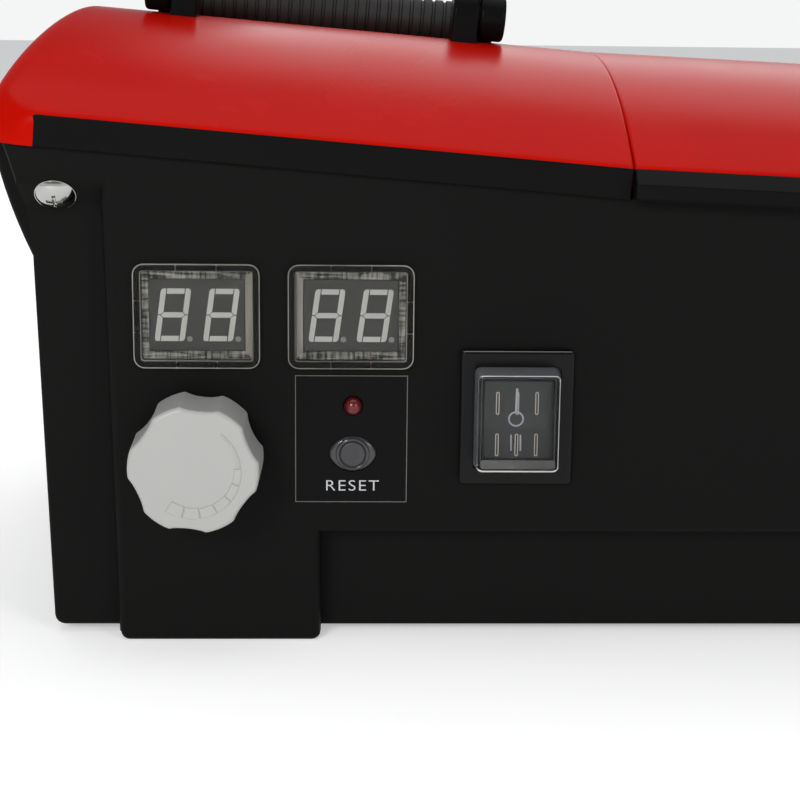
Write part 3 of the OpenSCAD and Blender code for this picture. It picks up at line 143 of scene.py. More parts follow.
def soft_box(name, place, aim, size, watts):
    """A square soft box at place that faces aim, in metres."""
    lamp = bpy.data.lights.new(name, "AREA")
    lamp.shape = "SQUARE"
    lamp.size = size
    lamp.energy = watts
    box = bpy.data.objects.new(name, lamp)
    box.location = place
    box.rotation_euler = (Vector(aim) - Vector(place)).to_track_quat("-Z", "Y").to_euler()
    scene.collection.objects.link(box)


soft_box("overhead_box", (0.0, 0.2, 1.5), (0, 0, 0), 1.6, 12)
soft_box("front_left_box", (-0.7, -1.5, 0.8), (-0.1, 0, 0.06), 0.5, 13)
soft_box("front_right_box", (1.0, -1.4, 0.7), (0.1, 0, 0.06), 0.45, 6)
soft_box("back_box", (0.3, 1.5, 0.9), (0, 0, 0.1), 1.0, 6)

# ---- Lower housing ----
# One deep tub injection-moulded in black polypropylene, with draft on its sides and a
# fine, slightly waxy surface. The corner columns flare out to meet the bulged sides.
panel_y = -98.75
body_d = 210
# Where the panel's controls and the rear wall's fittings sit, in X and Z
meter_xs = {"left": -113, "right": -72.6}
meter_mid_x = sum(meter_xs.values()) / 2
meter_z = 90
knob_x, knob_z = knob_spot = (-113, 52.9)
reset_x, reset_z = reset_spot = (-72, 52.9)
lamp_spot = (reset_x, 66)
switch_x, switch_z = -28.5, 63.2
fan_x, fan_z = fan = (-82, 62)
gland_x, gland_z = gland = (-25, 40)
body_of = {n: body for body, names in frame["record"]["behaviour"]["bodies"].items() for n in names}


def moulded(name, colour, roughness, grain=0.5, depth=0.006, spread=0.06, mottle=0.08, **shader):
    """A solid-coloured material with a surface grain, uneven gloss and slow mottling, in mm."""
    material, tree, surface = plain_material(name, **shader)
    place = add_node(tree, "ShaderNodeTexCoord").outputs["Object"]
    fine = add_node(tree, "ShaderNodeTexNoise",
                    {"Vector": place, "Scale": 1 / (grain * MM), "Detail": 3.0})
    slow = add_node(tree, "ShaderNodeTexNoise",
                    {"Vector": place, "Scale": 1 / (40 * MM), "Detail": 4.0})
    gloss = add_node(tree, "ShaderNodeMapRange",
                     {"Value": slow.outputs[0], "From Min": 0.3, "From Max": 0.7,
                      "To Min": roughness - spread, "To Max": roughness + spread})
    shade = add_node(tree, "ShaderNodeMapRange",
                     {"Value": slow.outputs[0], "From Min": 0.3, "From Max": 0.7,
                      "To Min": 1 - mottle, "To Max": 1 + mottle})
    tint = add_node(tree, "ShaderNodeHueSaturation",
                    {"Color": linear(colour), "Value": shade.outputs[0]})
    bump = add_node(tree, "ShaderNodeBump", {"Height": fine.outputs[0], "Distance": depth * MM})
    feed(surface, {"Base Color": tint.outputs[0], "Roughness": gloss.outputs[0],
                   "Normal": bump.outputs[0]})
    return material


def settle(obj, *names, body="housing", finish=None):
    """The piece stands for these CAD nodes, or rides on a body. Its finish is not used."""
    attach(obj, body_of[names[0]] if names else body)
    if names:
        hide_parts(*names)
    return obj


def shaded(obj, angle=35):
    """Smooth shading, except over sharp edges, with flat faces kept flat beside small radii."""
    obj.data.shade_smooth()
    obj.data.set_sharp_from_angle(angle=math.radians(angle))
    weighted = obj.modifiers.new("flat faces", "WEIGHTED_NORMAL")
    weighted.keep_sharp = True
    weighted.weight = 100
    return obj


def coated(obj, material, angle=35):
    """The solid in its material, with smooth shading."""
    obj.data.materials.append(material)
    return shaded(obj, angle)


def arc(centre, radius, start, end, steps):
    """Points on an arc, with its angles in degrees."""
    angles = [math.radians(start + (end - start) * k / steps) for k in range(steps + 1)]
    return [(centre[0] + radius * math.cos(a), centre[1] + radius * math.sin(a)) for a in angles]


def filleted(points, radius, steps=4):
    """An outline with its corners rounded by one radius, or by one for each corner."""
    outline = []
    for i, point in enumerate(points):
        size = radius[i] if isinstance(radius, (list, tuple)) else radius
        corner = Vector(point)
        back = Vector(points[i - 1]) - corner
        ahead = Vector(points[(i + 1) % len(points)]) - corner
        half = back.angle(ahead) / 2
        cut = min(size / math.tan(half), 0.49 * back.length, 0.49 * ahead.length)
        if cut < 0.01:
            outline.append(tuple(corner))
            continue
        inwards = (back.normalized() + ahead.normalized()).normalized()
        middle = corner + inwards * cut / math.cos(half)
        first = corner + back.normalized() * cut - middle
        last = corner + ahead.normalized() * cut - middle
        turn = math.atan2(first.x * last.y - first.y * last.x, first.dot(last))
        for k in range(steps + 1):
            a = turn * k / steps
            outline.append((middle.x + first.x * math.cos(a) - first.y * math.sin(a),
                            middle.y + first.x * math.sin(a) + first.y * math.cos(a)))
    return outline


def rectangle(u0, u1, v0, v1):
    """A rectangle from its edges."""
    return [(u0, v0), (u1, v0), (u1, v1), (u0, v1)]


def centred(half_u, half_v, u, v):
    """A rectangle from its half-sizes and its middle."""
    return rectangle(u - half_u, u + half_u, v - half_v, v + half_v)


def inset_outline(outline, inset):
    """The outline moved inwards, with mitred corners."""
    area = sum(a[0] * b[1] - b[0] * a[1] for a, b in zip(outline, outline[1:] + outline[:1]))
    turn = 1 if area > 0 else -1
    moved = []
    for i, point in enumerate(outline):
        here = Vector(point)
        back = (here - Vector(outline[i - 1])).normalized()
        ahead = (Vector(outline[(i + 1) % len(outline)]) - here).normalized()
        n1 = Vector((-back.y, back.x)) * turn
        n2 = Vector((-ahead.y, ahead.x)) * turn
        moved.append(tuple(here + (n1 + n2) * inset / max(1 + n1.dot(n2), 0.2)))
    return moved


# Where a place across an axis and a distance along it go in X, Y and Z
AXIS_ORDER = {"x": lambda u, v, along: (along, u, v), "y": lambda u, v, along: (u, along, v),
              "z": lambda u, v, along: (u, v, along)}


def stacked(loops, axis):
    """Points and faces of a solid from (distance along an axis, outline) pairs. The outlines
    are given as (y, z), (x, z) or (x, y), and have the same number of points."""
    n = len(loops[0][1])
    points = [AXIS_ORDER[axis](u, v, along) for along, outline in loops for u, v in outline]
    faces = [list(range(n))[::-1], list(range((len(loops) - 1) * n, len(loops) * n))]
    for ring in range(len(loops) - 1):
        for k in range(n):
            a, b = ring * n + k, ring * n + (k + 1) % n
            faces.append([a, b, b + n, a + n])
    return points, faces


def rounded_levels(start, end, r_start, r_end, steps):
    """The (distance, inset) pairs of a solid between two planes, its ends rounded."""
    levels = []
    for radius, base, way in ((r_start, start, 1), (r_end, end, -1)):
        ring_steps = steps if radius > 0 else 0
        side = [(base + way * math.copysign(1, end - start)
                 * radius * (1 - math.cos(math.radians(90 * k / steps))),
                 radius * (1 - math.sin(math.radians(90 * k / steps))))
                for k in range(ring_steps + 1)]
        levels += side if way > 0 else side[::-1]
    return levels


def prism(outline, axis, start, end, r_start=0, r_end=0, grow=0, steps=3):
    """An outline drawn along an axis, its ends rounded. It grows by grow from start to end."""
    return stacked([(along, inset_outline(outline, inset - grow * (along - start) / (end - start)))
                    for along, inset in rounded_levels(start, end, r_start, r_end, steps)], axis)


def outward(obj):
    """Turns the normals of a closed mesh outwards."""
    work = bmesh.new()
    work.from_mesh(obj.data)
    bmesh.ops.recalc_face_normals(work, faces=work.faces)
    work.to_mesh(obj.data)
    work.free()
    return obj


def solid(name, shape, *materials):
    """An object from points and faces, in mm from the panel's foot, with its normals outward."""
    points, faces = shape
    return outward(mesh_object(name, [(x, y + panel_y, z) for x, y, z in points], faces,
                               *materials))


def as_mesh(obj):
    """The object's mesh with its modifiers applied."""
    return bpy.data.meshes.new_from_object(
        obj.evaluated_get(bpy.context.evaluated_depsgraph_get()))


def worked(base, joined=(), cut=(), kept=()):
    """The base solid with some solids joined to it and others cut out of it or kept in it."""
    tools = [("UNION", tool) for tool in joined] + [("DIFFERENCE", tool) for tool in cut]
    tools += [("INTERSECT", tool) for tool in kept]
    for operation, tool in tools:
        step = base.modifiers.new(operation, "BOOLEAN")
        step.operation = operation
        step.solver = "MANIFOLD"
        step.object = tool
    mesh = as_mesh(base)
    mesh.name = base.name
    mesh.materials.clear()
    for material in base.data.materials:
        mesh.materials.append(material)
    mesh.polygons.foreach_set("material_index", [0] * len(mesh.polygons))
    base.modifiers.clear()
    base.data = mesh
    for _, tool in tools:
        bpy.data.objects.remove(tool)
    return base


def mirrored(shape, middle):
    """Points and faces mirrored front to rear about a plane."""
    points, faces = shape
    return [(x, 2 * middle - y, z) for x, y, z in points], faces


# Injection-moulded polypropylene: deep black, finely grained, with hardly any gloss
black_plastic = moulded("black polypropylene", "#0b0b0a", 0.5, grain=0.35, depth=0.004,
                        Specular_IOR_Level=0.08)
wall = 2.6
rim_mid_z = 121.2
hood_slope = math.radians(4.7)
lid_slope = math.radians(2.5)
side_half_w = 156.5
rim_half_w = 162.5
base_half_w = 153.8
face_half_w = 138
face_base_half_w = 135.4
floor_z = 4
skirt_z = 2
foot_h = 30.1
foot_x0 = 80.5
recess_r = 3.2
recess_depth = 8
screw_x = 149.5
screw_drop = 12.5
channel_d = 7
column_y1 = 13
flare_h = 32
bulge_r = 61
bulge_x = 108.2
bulge_inset = 20
barrel_r = 131
# How far the tub's solids reach above the rim before they are trimmed to it
spare = 8


def rim_z(x):
    """The height of the tub's sloping rim."""
    return rim_mid_z - x * math.tan(hood_slope if x < 0 else lid_slope)


def tub_section(base_w, top_w, inset, z0, flare=0):
    """A section of the tub in X and Z from its half-widths at base and top, past the rim."""
    right = [(base_w - inset, z0)]
    left = [(-base_w + inset, z0)]
    if flare:
        right.append((top_w - inset, rim_z(top_w) - flare))
        left.append((-top_w + inset, rim_z(-top_w) - flare))
    right.append((top_w - inset, rim_z(top_w) + spare))
    left.append((-top_w + inset, rim_z(-top_w) + spare))
    return right + [(0, rim_mid_z + spare)] + left[::-1]


def flared_section(side, inner_x, z0):
    """The flared corner from inner_x out and from z0 up, in X and Z, past the rim."""
    top = rim_z(side * rim_half_w)
    flare = [(side_half_w + (rim_half_w - side_half_w) * (k / 8) ** 2, top - flare_h * (1 - k / 8))
             for k in range(9)]
    edge = [(side_half_w, z0)] + [p for p in flare if p[1] > z0 + 2]
    edge.append((rim_half_w, top + spare))
    return [(side * inner_x, top + spare), (side * inner_x, z0)] + [(side * x, z) for x, z in edge]


def bulge_section(side, inset, inner_x):
    """A side bulge out from inner_x, in X and Z, past the rim."""
    middle = (bulge_x + bulge_r - 129, rim_z(side * (bulge_x + bulge_r)) + 22.7)
    lowest = math.degrees(math.acos((inner_x - middle[0]) / (barrel_r - inset)))
    curve = arc(middle, barrel_r - inset, -8, -lowest, 12)
    top = middle[1] + 2 * spare
    return [(side * inner_x, top), (side * curve[0][0], top)] + [(side * x, z) for x, z in curve]


def drum(name, axis, place, radius, start, end, r_start=0, r_end=0, sides=48):
    """A round boss, pin or cutter about a point in the plane across its axis."""
    outline = arc(place, radius, 0, 360, sides)[:-1]
    return solid(name, prism(outline, axis, start, end, r_start, r_end))


def block(name, axis, outline, start, end, *radii, **more):
    """An outline drawn along an axis between two distances, as a solid."""
    return solid(name, prism(outline, axis, start, end, *radii, **more))


def both_ends(name, *shape, **more):
    """Two like solids, at the front and at the rear."""
    made = prism(*shape, **more)
    return [solid(name, made), solid(name, mirrored(made, body_d / 2))]


rim_cut = [(-200, rim_z(-200)), (0, rim_mid_z), (200, rim_z(200)), (200, 260), (-200, 260)]
tub_outline = tub_section(base_half_w, side_half_w, 0, skirt_z, flare_h)
lower_edges = [2.8] + [0] * (len(tub_outline) - 2) + [2.8]
tub = block("lower_tub", "y", filleted(tub_outline, lower_edges),
            channel_d, body_d - channel_d, 1.2, 1.2)
face = block("tub_face", "y", tub_section(face_base_half_w, face_half_w, 0, skirt_z), 0, body_d,
             2.6, 2.6, steps=5)
# The outer walls reach below the floor as a skirt
underside = block("underside", "z", filleted(rectangle(-150.5, 150.5, 10.6, 199.4), 3),
                  skirt_z - 1, floor_z)
tub = worked(tub, [face], [underside])
seat_slope = 1 / math.tan(math.radians(40))
joined = []
hollow = [block("tub_hollow", "y", tub_section(base_half_w, side_half_w, wall,
                                              floor_z + wall, flare_h),
                channel_d + wall, body_d - channel_d - wall),
          block("front_hollow", "y",
                tub_section(face_base_half_w, face_half_w, wall, foot_h + wall), wall, body_d / 2),
          block("rear_hollow", "y",
                tub_section(face_base_half_w, face_half_w, wall, floor_z + wall),
                body_d / 2, body_d - wall)]
for side in (-1, 1):
    flare_z = rim_z(side * rim_half_w) - flare_h
    joined += both_ends("column", flared_section(side, side_half_w - wall, flare_z), "y",
                        channel_d, column_y1, 1.2, 1.2)
    joined += both_ends("foot", filleted(rectangle(side * foot_x0, side * 135, 0, foot_h), 2.4),
                        "y", 0, 45, 1.5, 1.5)
    # The screw's seat faces forwards and down at 40 degrees
    seat_z = rim_z(side * screw_x) - screw_drop
    seat_cut = [(-3, seat_z + 30), (0, seat_z + 30), (0, seat_z + 4.17),
                (channel_d, seat_z + 4.17 - channel_d * seat_slope), (channel_d, seat_z - 40),
                (-3, seat_z - 40)]
    seat_cut = filleted(seat_cut, [0, 0, 5, 7, 0, 0], 6)
    for made, cut in zip(both_ends("corner", flared_section(side, 134, seat_z - 16), "y",
                                   0, column_y1, 1.6, 1.6, steps=4),
                         both_ends("seat", seat_cut, "x", side * 120, side * 175)):
        joined.append(worked(made, cut=[cut]))
    joined.append(block("bulge", "y", bulge_section(side, 0, 150), bulge_inset,
                        body_d - bulge_inset, 1.8, 1.8))
    hollow.append(block("bulge_hollow", "y", bulge_section(side, wall, 149), bulge_inset + wall,
                        body_d - bulge_inset - wall))
    hollow.append(block("foot_hollow", "y", rectangle(side * 83.1, side * 131.4, 6.6, 32.8),
                        wall, 45))
# The recess between the feet, its edges flared by their radii
recess_side = ([(-5, -5), (recess_depth, -5), (recess_depth, foot_h)]
               + arc((recess_r, foot_h + recess_r), recess_r, -90, -180, 8)
               + [(-5, foot_h + recess_r)])
recess_plan = ([(82.9, -5), (82.9, 0)] + arc((82.9, 2.4), 2.4, 270, 180, 6)
               + [(foot_x0, recess_depth)])
recess_plan += [(-x, y) for x, y in recess_plan[::-1]]
recess = worked(block("recess", "x", recess_side, -90, 90),
                kept=[block("recess_plan", "z", recess_plan, -6, 40)])
recess_wall = block("recess_wall", "y", rectangle(-83.1, 83.1, skirt_z, foot_h + wall),
                    recess_depth, recess_depth + wall)

bosses = [drum("pad", "z", (x, y), 6, 5, 12) for x in (-126, -48) for y in (85.5, 144.5)]
bosses += [drum("rail", "z", (-22, y), 5, 5, 12) for y in (78, 152)]
bosses += [drum("board_boss", "x", (y, z), 3.5, x, -147.6)
           for x, z in ((-153.2, 28), (-155, 96)) for y in (56, 144)]
bosses += [drum("meter_boss", "y", (meter_mid_x, meter_z + dz), 3, 1, 11) for dz in (-7.5, 7.5)]
slots = [block("side_vent", "x", filleted(rectangle(60 + 11 * i, 64 + 11 * i, 20, 66), 1.6),
               -162, -151) for i in range(8)]
slots += [block("floor_vent", "z", filleted(rectangle(x - 2, x + 2, 90, 140), 1.9), 0, 8)
          for x in (-117, -105, -93, -81, -69, -57)]
slots += [block("meter_cutout", "y", centred(14.5, 11.8, x, meter_z), -1, 3)
          for x in meter_xs.values()]
slots += [block("switch_cutout", "y", centred(13.1, 16.1, switch_x, switch_z), -1, 3),
          drum("knob_hole", "y", knob_spot, 4.95, -1, 3),
          drum("reset_hole", "y", reset_spot, 4.75, -1, 3),
          drum("lamp_hole", "y", lamp_spot, 2.6, -1, 3),
          drum("fan_hole", "y", fan, 25, 206, 211, sides=96),
          drum("gland_hole", "y", gland, 8.25, 206, 211)]
tub = worked(tub, joined)
tub = worked(tub, cut=hollow + [recess])
tub = worked(tub, [recess_wall] + bosses, slots + [block("above_rim", "y", rim_cut, -20, 230)])
settle(coated(tub, black_plastic), "lower_housing")

# ---- Hood, lid and their trim ----
# Two glossy red ABS shells with one arch from front to rear and barrel-shaped sides. They
# meet at an upright seam. A black satin band closes the hood's front edge, and a stepped
# black lip is the lid's finger grip.
arch_r = 233
arch_y = 105
arch_z = 34.5 - arch_r
cover_y0 = -2
cover_y1 = 212
cover_r = 14
lid_y1 = 186
trim_h = 8.2


def leaned(obj, slope):
    """Moves a solid's mesh from over the level rim onto the rim's slope."""
    turn = Matrix.Translation((0, 0, rim_mid_z * MM)) @ Matrix.Rotation(slope, 4, "Y")
    obj.data.transform(turn)
    return obj


def crown(y, drop=0):
    """The height of the covers' arch at a distance from the panel."""
    return arch_z + math.sqrt((arch_r - drop) ** 2 - (y - arch_y) ** 2)


def cover_section(side, inset, height, foot, pull):
    """An arch's section in X and Z: up the seam, across the top and down the barrel side.
    height is the top's and foot the lower edge's. pull draws the side in near a corner."""
    edge = max(1 - inset, 0.2)
    soft = max(min(8, 0.8 * (height - foot)) - inset, 0.5)
    seam = 0.3 + inset
    side_r = bulge_r - inset
    section = [(seam, foot), (seam, (foot + height - edge) / 2)]
    section += arc((seam + edge, height - edge), edge, 180, 90, 4)
    # The round between top and side touches the level top and the side's arc
    middle_x = bulge_x + math.sqrt(max((side_r - soft) ** 2 - (height - soft) ** 2, 1)) - pull
    section += [(seam + edge + (middle_x - seam - edge) * k / 24, height) for k in range(1, 24)]
    barrel = math.degrees(math.atan2(height - soft, middle_x + pull - bulge_x))
    section += arc((middle_x, height - soft), soft, 90, barrel, 8)
    lowest = math.degrees(math.asin(foot / side_r))
    section += arc((bulge_x - pull, 0), side_r, barrel, lowest, 9)[1:]
    return [(side * x, z) for x, z in section]


def cover_form(side, inset, y1, foot, nose, tail):
    """Points and faces of a cover's closed form, this far inside its outer faces."""
    front = cover_y0 + 0.1 + inset
    last = y1 - 0.1 - tail
    nose, tail = max(nose - inset, 0), tail - inset
    rows = arc((front + nose, crown(front + nose, nose + inset)), nose, 180, 117, 6) if nose else []
    steps = 40
    rows += [(y, crown(y, inset)) for y in
             (front + nose + (last - front - nose) * (1 - math.cos(math.pi * k / steps)) / 2
              for k in range(1 if nose else 0, steps))]
    rows += arc((last, crown(last, inset) - tail), tail, 90, 0, 6)
    corner = cover_r - inset
    loops = []
    for y, height in rows:
        near = corner - min(y - front, last + tail - y, corner)
        pull = corner - math.sqrt(corner ** 2 - near ** 2)
        loops.append((y, cover_section(side, inset, height, foot, pull)))
    return stacked(loops, "y")


def cover_shell(name, side, slope, foot, **form):
    """One red shell, its front wall cut back for the black band."""
    band_room = block("band_room", "x", rectangle(-4, 0.45, -2, trim_h - 0.6),
                      side * -1, side * 154.6)
    shell = worked(solid(name, cover_form(side, 0, foot=foot, **form), red_plastic),
                   cut=[solid("room", cover_form(side, wall, foot=foot - 1, **form)), band_room])
    return shaded(leaned(shell, slope), 30)


def facing_finish_and_highlight(obj, material, chosen):
    """Gives another material to the faces whose normal is chosen: it paints highlights on faces
    turned to the light, and gives the boot's side walls their haze.
    """
    obj.data.materials.append(material)
    for face in obj.data.polygons:
        if chosen(face.normal):
            face.material_index = len(obj.data.materials) - 1


# ABS from a polished mould: a deep, even red with soft, broad highlights
red_plastic = moulded("glossy red ABS", "#b30d03", 0.25, grain=1.8, depth=0.004, spread=0.04,
                      mottle=0.03, Specular_IOR_Level=0.02)
# ABS from a lightly blasted mould: black with a faint, even sheen
satin_black = moulded("satin black ABS", "#101010", 0.3, grain=0.3, depth=0.002,
                      spread=0.03, Specular_IOR_Level=0.04)
# A glossier black for slanted edges: its sheen is real gloss, and its grey colour is a painted
# highlight where the edge faces up to the light
gloss_and_painted_gleam = moulded("black edge gloss with painted highlight", "#464648", 0.16, grain=8.0, depth=0.001,
                        mottle=0.4, Specular_IOR_Level=1.0)
settle(cover_shell("hood_shell", -1, hood_slope, 0, y1=cover_y1, nose=2.2, tail=5), "hood")

# The lid's shell with two hinge knuckles at the rear
hinge_y, hinge_z = hinge = (191, 12)
knuckle_w = 14
knuckle_xs = (24, 128)
settle(cover_shell("lid_shell", 1, lid_slope, 3.3, y1=lid_y1, nose=2.2, tail=5), "lid")
tongue = ([(lid_y1 - 2.6, hinge_z + 1.3), (lid_y1 - 2.6, hinge_z - 2.6),
           (hinge_y - 1.5, hinge_z - 3.6)]
          + arc(hinge, 4, 248, 450, 16) + [(hinge_y - 2, hinge_z + 3.4)])
for i, x in enumerate(knuckle_xs):
    knuckle = worked(block(f"lid_knuckle_{i + 1}", "x", tongue, x, x + knuckle_w, 0.4, 0.4),
                     cut=[drum("pin_hole", "x", hinge, 1.55, x - 1, x + knuckle_w + 1)])
    settle(coated(leaned(knuckle, lid_slope), red_plastic), body="lid", finish="red_cover")

trim = block("hood_trim_band", "x", filleted(rectangle(cover_y0, 0.4, 0, trim_h), 0.55),
             -155.2, -0.35, 1.2, 0.3)
settle(coated(leaned(trim, hood_slope), satin_black), "hood_trim")
lip_profile = [(0.4, 0.3), (-5.5, 0.3), (-6.5, 1.3), (-6.5, 4.6), (-2, trim_h), (0.4, trim_h)]
lip = block("lid_grip_lip", "x", filleted(lip_profile, [0.2, 0.5, 0.5, 0.6, 0.4, 0.2]),
            0.3, 155.2, 0.5, 1.5)
lip.data.materials.append(satin_black)
# Painted highlight: the lip's faces that look forwards and a little up take the grey gleaming edge
# material
facing_finish_and_highlight(lip, gloss_and_painted_gleam, lambda n: n.y < -0.7 and n.z > 0.1)
settle(shaded(leaned(lip, lid_slope)), "lid_lip")

# ---- Lead bin ----
# A black moulded frame: its flange lies on the rim under the lid, its tub hangs in the
# housing, and its rear rail carries the hinge.
bin_plan = filleted([(0.5, 0.4), (169, 0.4), (169, 211.8), (0.5, 211.8)], [0, 12, 12, 0], steps=8)
flange = leaned(block("bin_moulding", "z", bin_plan, 0, 3, 0, 0.7), lid_slope)
rail = leaned(block("rail", "x", filleted([(200, 1), (211.8, 1), (211.8, 8.6), (200, 14.2)],
                                          [0, 0, 2, 1.5]), 0.5, 158, 0, 4), lid_slope)
feet = [leaned(worked(drum("knuckle", "x", hinge, 4, k, k + knuckle_w, 0.4, 0.4),
                      [block("foot", "x", rectangle(hinge_y - 3.5, hinge_y + 3.5, 2, hinge_z),
                             k, k + knuckle_w, 0.4, 0.4)]), lid_slope)
        for x in knuckle_xs for k in (x - knuckle_w - 0.4, x + knuckle_w + 0.4)]
bin_hole = (62, 58)
bin_tub = block("bin_tub", "z", filleted(rectangle(4, 141, 13, 182), 4), 9, 126, 1.5, 0)
bin_posts = [block("post", "z", rectangle(144.7, 153.6, y, y + 16.7), 100, 117)
             for y in (13.3, 180)]
bin_cuts = [block("bin_room", "z", filleted(rectangle(6, 139, 15, 180), 3), 11, 140, 1.5, 0),
            drum("lead_hole", "x", bin_hole, 7.25, 3, 8)]
bin_trim = [block("above_flange", "y", [(0, rim_z(0) + 2.9), (142, rim_z(142) + 2.9),
                                        (142, 150), (0, 150)], 5, 190)]
bin_frame = worked(flange, [rail] + feet + [worked(bin_tub, cut=bin_trim)] + bin_posts, bin_cuts)
settle(coated(bin_frame, black_plastic), "bin_frame")

# Bright zinc plating on drawn rod: a greyish metal with a soft gleam
zinc = moulded("zinc-plated steel", "#a9aaa6", 0.3, grain=0.25, depth=0.001, spread=0.08,
               Metallic=1.0)
rod = drum("hinge_rod", "x", hinge, 1.5, 10, 156, 0.4, 0.4)
settle(coated(leaned(rod, lid_slope), zinc), "hinge_pin")

# ---- Carry handle ----
# A folding handle: two flat arms and a cross bar in one black moulding, with a ribbed soft
# sleeve round the bar. Steel pins join it to two brackets screwed through the hood.
handle_x = -84
handle_w = 110
pivot_y, pivot_z = pivot = (100, 42)
reach = 42
arm_t = 8
grip_r = 7
handle_dip = math.radians(4)


def dipped(obj):
    """Turns a level handle piece down about its pivot and onto the hood's slope."""
    there = Matrix.Translation((0, (pivot_y + panel_y) * MM, pivot_z * MM))
    obj.data.transform(there @ Matrix.Rotation(-handle_dip, 4, "X") @ there.inverted())
    return leaned(obj, hood_slope)


def turned(name, axis, place, profile, *materials, sides=48):
    """A turned solid about a line along an axis, from (radius, distance along) pairs."""
    points, faces, rings = [], [], []
    for radius, along in profile:
        if radius < 0.001:
            rings.append([len(points)])
            points.append(AXIS_ORDER[axis](*place, along))
            continue
        rings.append(list(range(len(points), len(points) + sides)))
        points += [AXIS_ORDER[axis](u, v, along)
                   for u, v in arc(place, radius, 0, 360, sides)[:-1]]
    for a, b in zip(rings, rings[1:]):
        for k in range(sides):
            quad = [a[k % len(a)], a[(k + 1) % len(a)], b[(k + 1) % len(b)], b[k % len(b)]]
            faces.append(list(dict.fromkeys(quad)))
    if len(rings[0]) > 1 and rings[0] != rings[-1]:
        faces += [rings[0], rings[-1]] if len(rings[-1]) > 1 else [rings[0]]
    return solid(name, (points, faces), *materials)


grip_y = pivot_y + reach
arm_profile = (arc(pivot, grip_r, 45.6, 314.4, 20)
               + arc((grip_y, pivot_z), grip_r, 225.6, 494.4, 20))
left_arm, right_arm = [
    worked(block("carry_arm", "x", arm_profile, x, x + arm_t, 1.2, 1.2),
           cut=[drum("pivot_hole", "x", pivot, 3.05, x - 1, x + arm_t + 1)])
    for x in (handle_x - handle_w / 2, handle_x + handle_w / 2 - arm_t)]
bar = drum("bar", "x", (grip_y, pivot_z), 5.2, handle_x - handle_w / 2 + 1,
           handle_x + handle_w / 2 - 1)
handle = worked(left_arm, [right_arm, bar])
settle(coated(dipped(handle), satin_black), "carry_handle")

# The sleeve's ribs are shallow, so that it still fills the room between the arms
sleeve_x0 = handle_x - handle_w / 2 + arm_t + 0.05
sleeve_x1 = handle_x + handle_w / 2 - arm_t - 0.05
rib_pitch = 3.6
rib_count = int((sleeve_x1 - sleeve_x0 - 8) / rib_pitch)
rib_x0 = handle_x - rib_count * rib_pitch / 2
sleeve_profile = [(5.25, sleeve_x0), (6.5, sleeve_x0), (7, sleeve_x0 + 0.5)]
for i in range(rib_count):
    x = rib_x0 + i * rib_pitch
    sleeve_profile += [(7, x), (6.4, x + 0.35), (6.4, x + 0.95), (7, x + 1.3)]
sleeve_profile += [(7, sleeve_x1 - 0.5), (6.5, sleeve_x1), (5.25, sleeve_x1)]
# An elastomer from a textured mould: dead matt, slightly dusty black
soft_rubber = moulded("soft black elastomer", "#131313", 0.72, grain=0.2, depth=0.006)
sleeve = turned("handle_sleeve", "x", (grip_y, pivot_z), sleeve_profile + sleeve_profile[:1],
                soft_rubber, sides=64)
settle(shaded(dipped(sleeve), 25), "handle_grip")

bracket_profile = [(92, 33.6), (108, 33.6)] + arc(pivot, 8, 0, 180, 24)
bracket_xs = (handle_x - handle_w / 2 + arm_t + 4.25, handle_x + handle_w / 2 - arm_t - 4.25)
made = [block("handle_bracket", "x", bracket_profile, x - 4, x + 4, 1, 1) for x in bracket_xs]
brackets = worked(made[0], made[1:])
settle(coated(leaned(brackets, hood_slope), satin_black), "handle_brackets")
pin_ends = [(bracket_xs[0] - 12.2, bracket_xs[0] + 4), (bracket_xs[1] - 4, bracket_xs[1] + 12.2)]
made = [drum("handle_pivot_pin", "x", pivot, 3, x0, x1, 0.5, 0.5) for x0, x1 in pin_ends]
pins = worked(made[0], made[1:])
settle(coated(leaned(pins, hood_slope), zinc), "handle_pins")

# ---- Corner screws ----
# Four chromed pan-head screws with a cross recess. Each points up at 40 degrees through
# its seat into a post under the cover.

# Chrome plating on a polished head: a clear mirror with the faintest ripple
chrome = moulded("chromed steel", "#b4b4b1", 0.1, grain=0.4, depth=0.0004, spread=0.04,
                 mottle=0.02, Metallic=1.0)
head_r = 5.4
head_h = 2.8
head_profile = [(0, 0.2), (2, 0.2), (4.9, 0.2), (head_r - 0.15, 0.05), (head_r, -0.2)]
dome_r = (head_r ** 2 + head_h ** 2) / (2 * head_h)
dome_edge = math.degrees(math.asin(0.97 * head_r / dome_r))
head_profile += [(dome_r * math.sin(math.radians(dome_edge * (1 - k / 12))),
                  dome_r - head_h - dome_r * math.cos(math.radians(dome_edge * (1 - k / 12))))
                 for k in range(12)] + [(0, -head_h)]
for label, side, rear in (("front_left", -1, False), ("front_right", 1, False),
                          ("rear_left", -1, True), ("rear_right", 1, True)):
    head = turned("corner_screw_" + label, "z", (0, 0), head_profile, chrome, sides=64)
    slot_shapes = [block("cross", "z", filleted(rectangle(-a, a, -b, b), 0.3), -4, -1.2, 0, 0.4)
                   for a, b in ((2.2, 0.5), (0.5, 2.2))]
    head = worked(head, cut=slot_shapes)
    turn = Matrix.Rotation(math.radians(-50), 4, "X")
    spot = Matrix.Translation((side * screw_x * MM, 3.5 * MM,
                               (rim_z(side * screw_x) - screw_drop) * MM))
    back = Matrix.Translation((0, -panel_y * MM, 0))
    head.data.transform(back.inverted() @ spot @ turn @ back)
    if rear:
        flip = Matrix.Translation((0, (panel_y + body_d / 2) * MM, 0))
        head.data.transform(flip @ Matrix.Diagonal((1, -1, 1, 1)) @ flip.inverted())
        head.data.flip_normals()
    settle(shaded(head, 40), "corner_screws")

# ---- Meters ----
# Two clear polycarbonate snap-in windows, each over a two-digit seven-segment module. The
# module's face is dark grey and its unlit segments are pale. All sit on one narrow board.

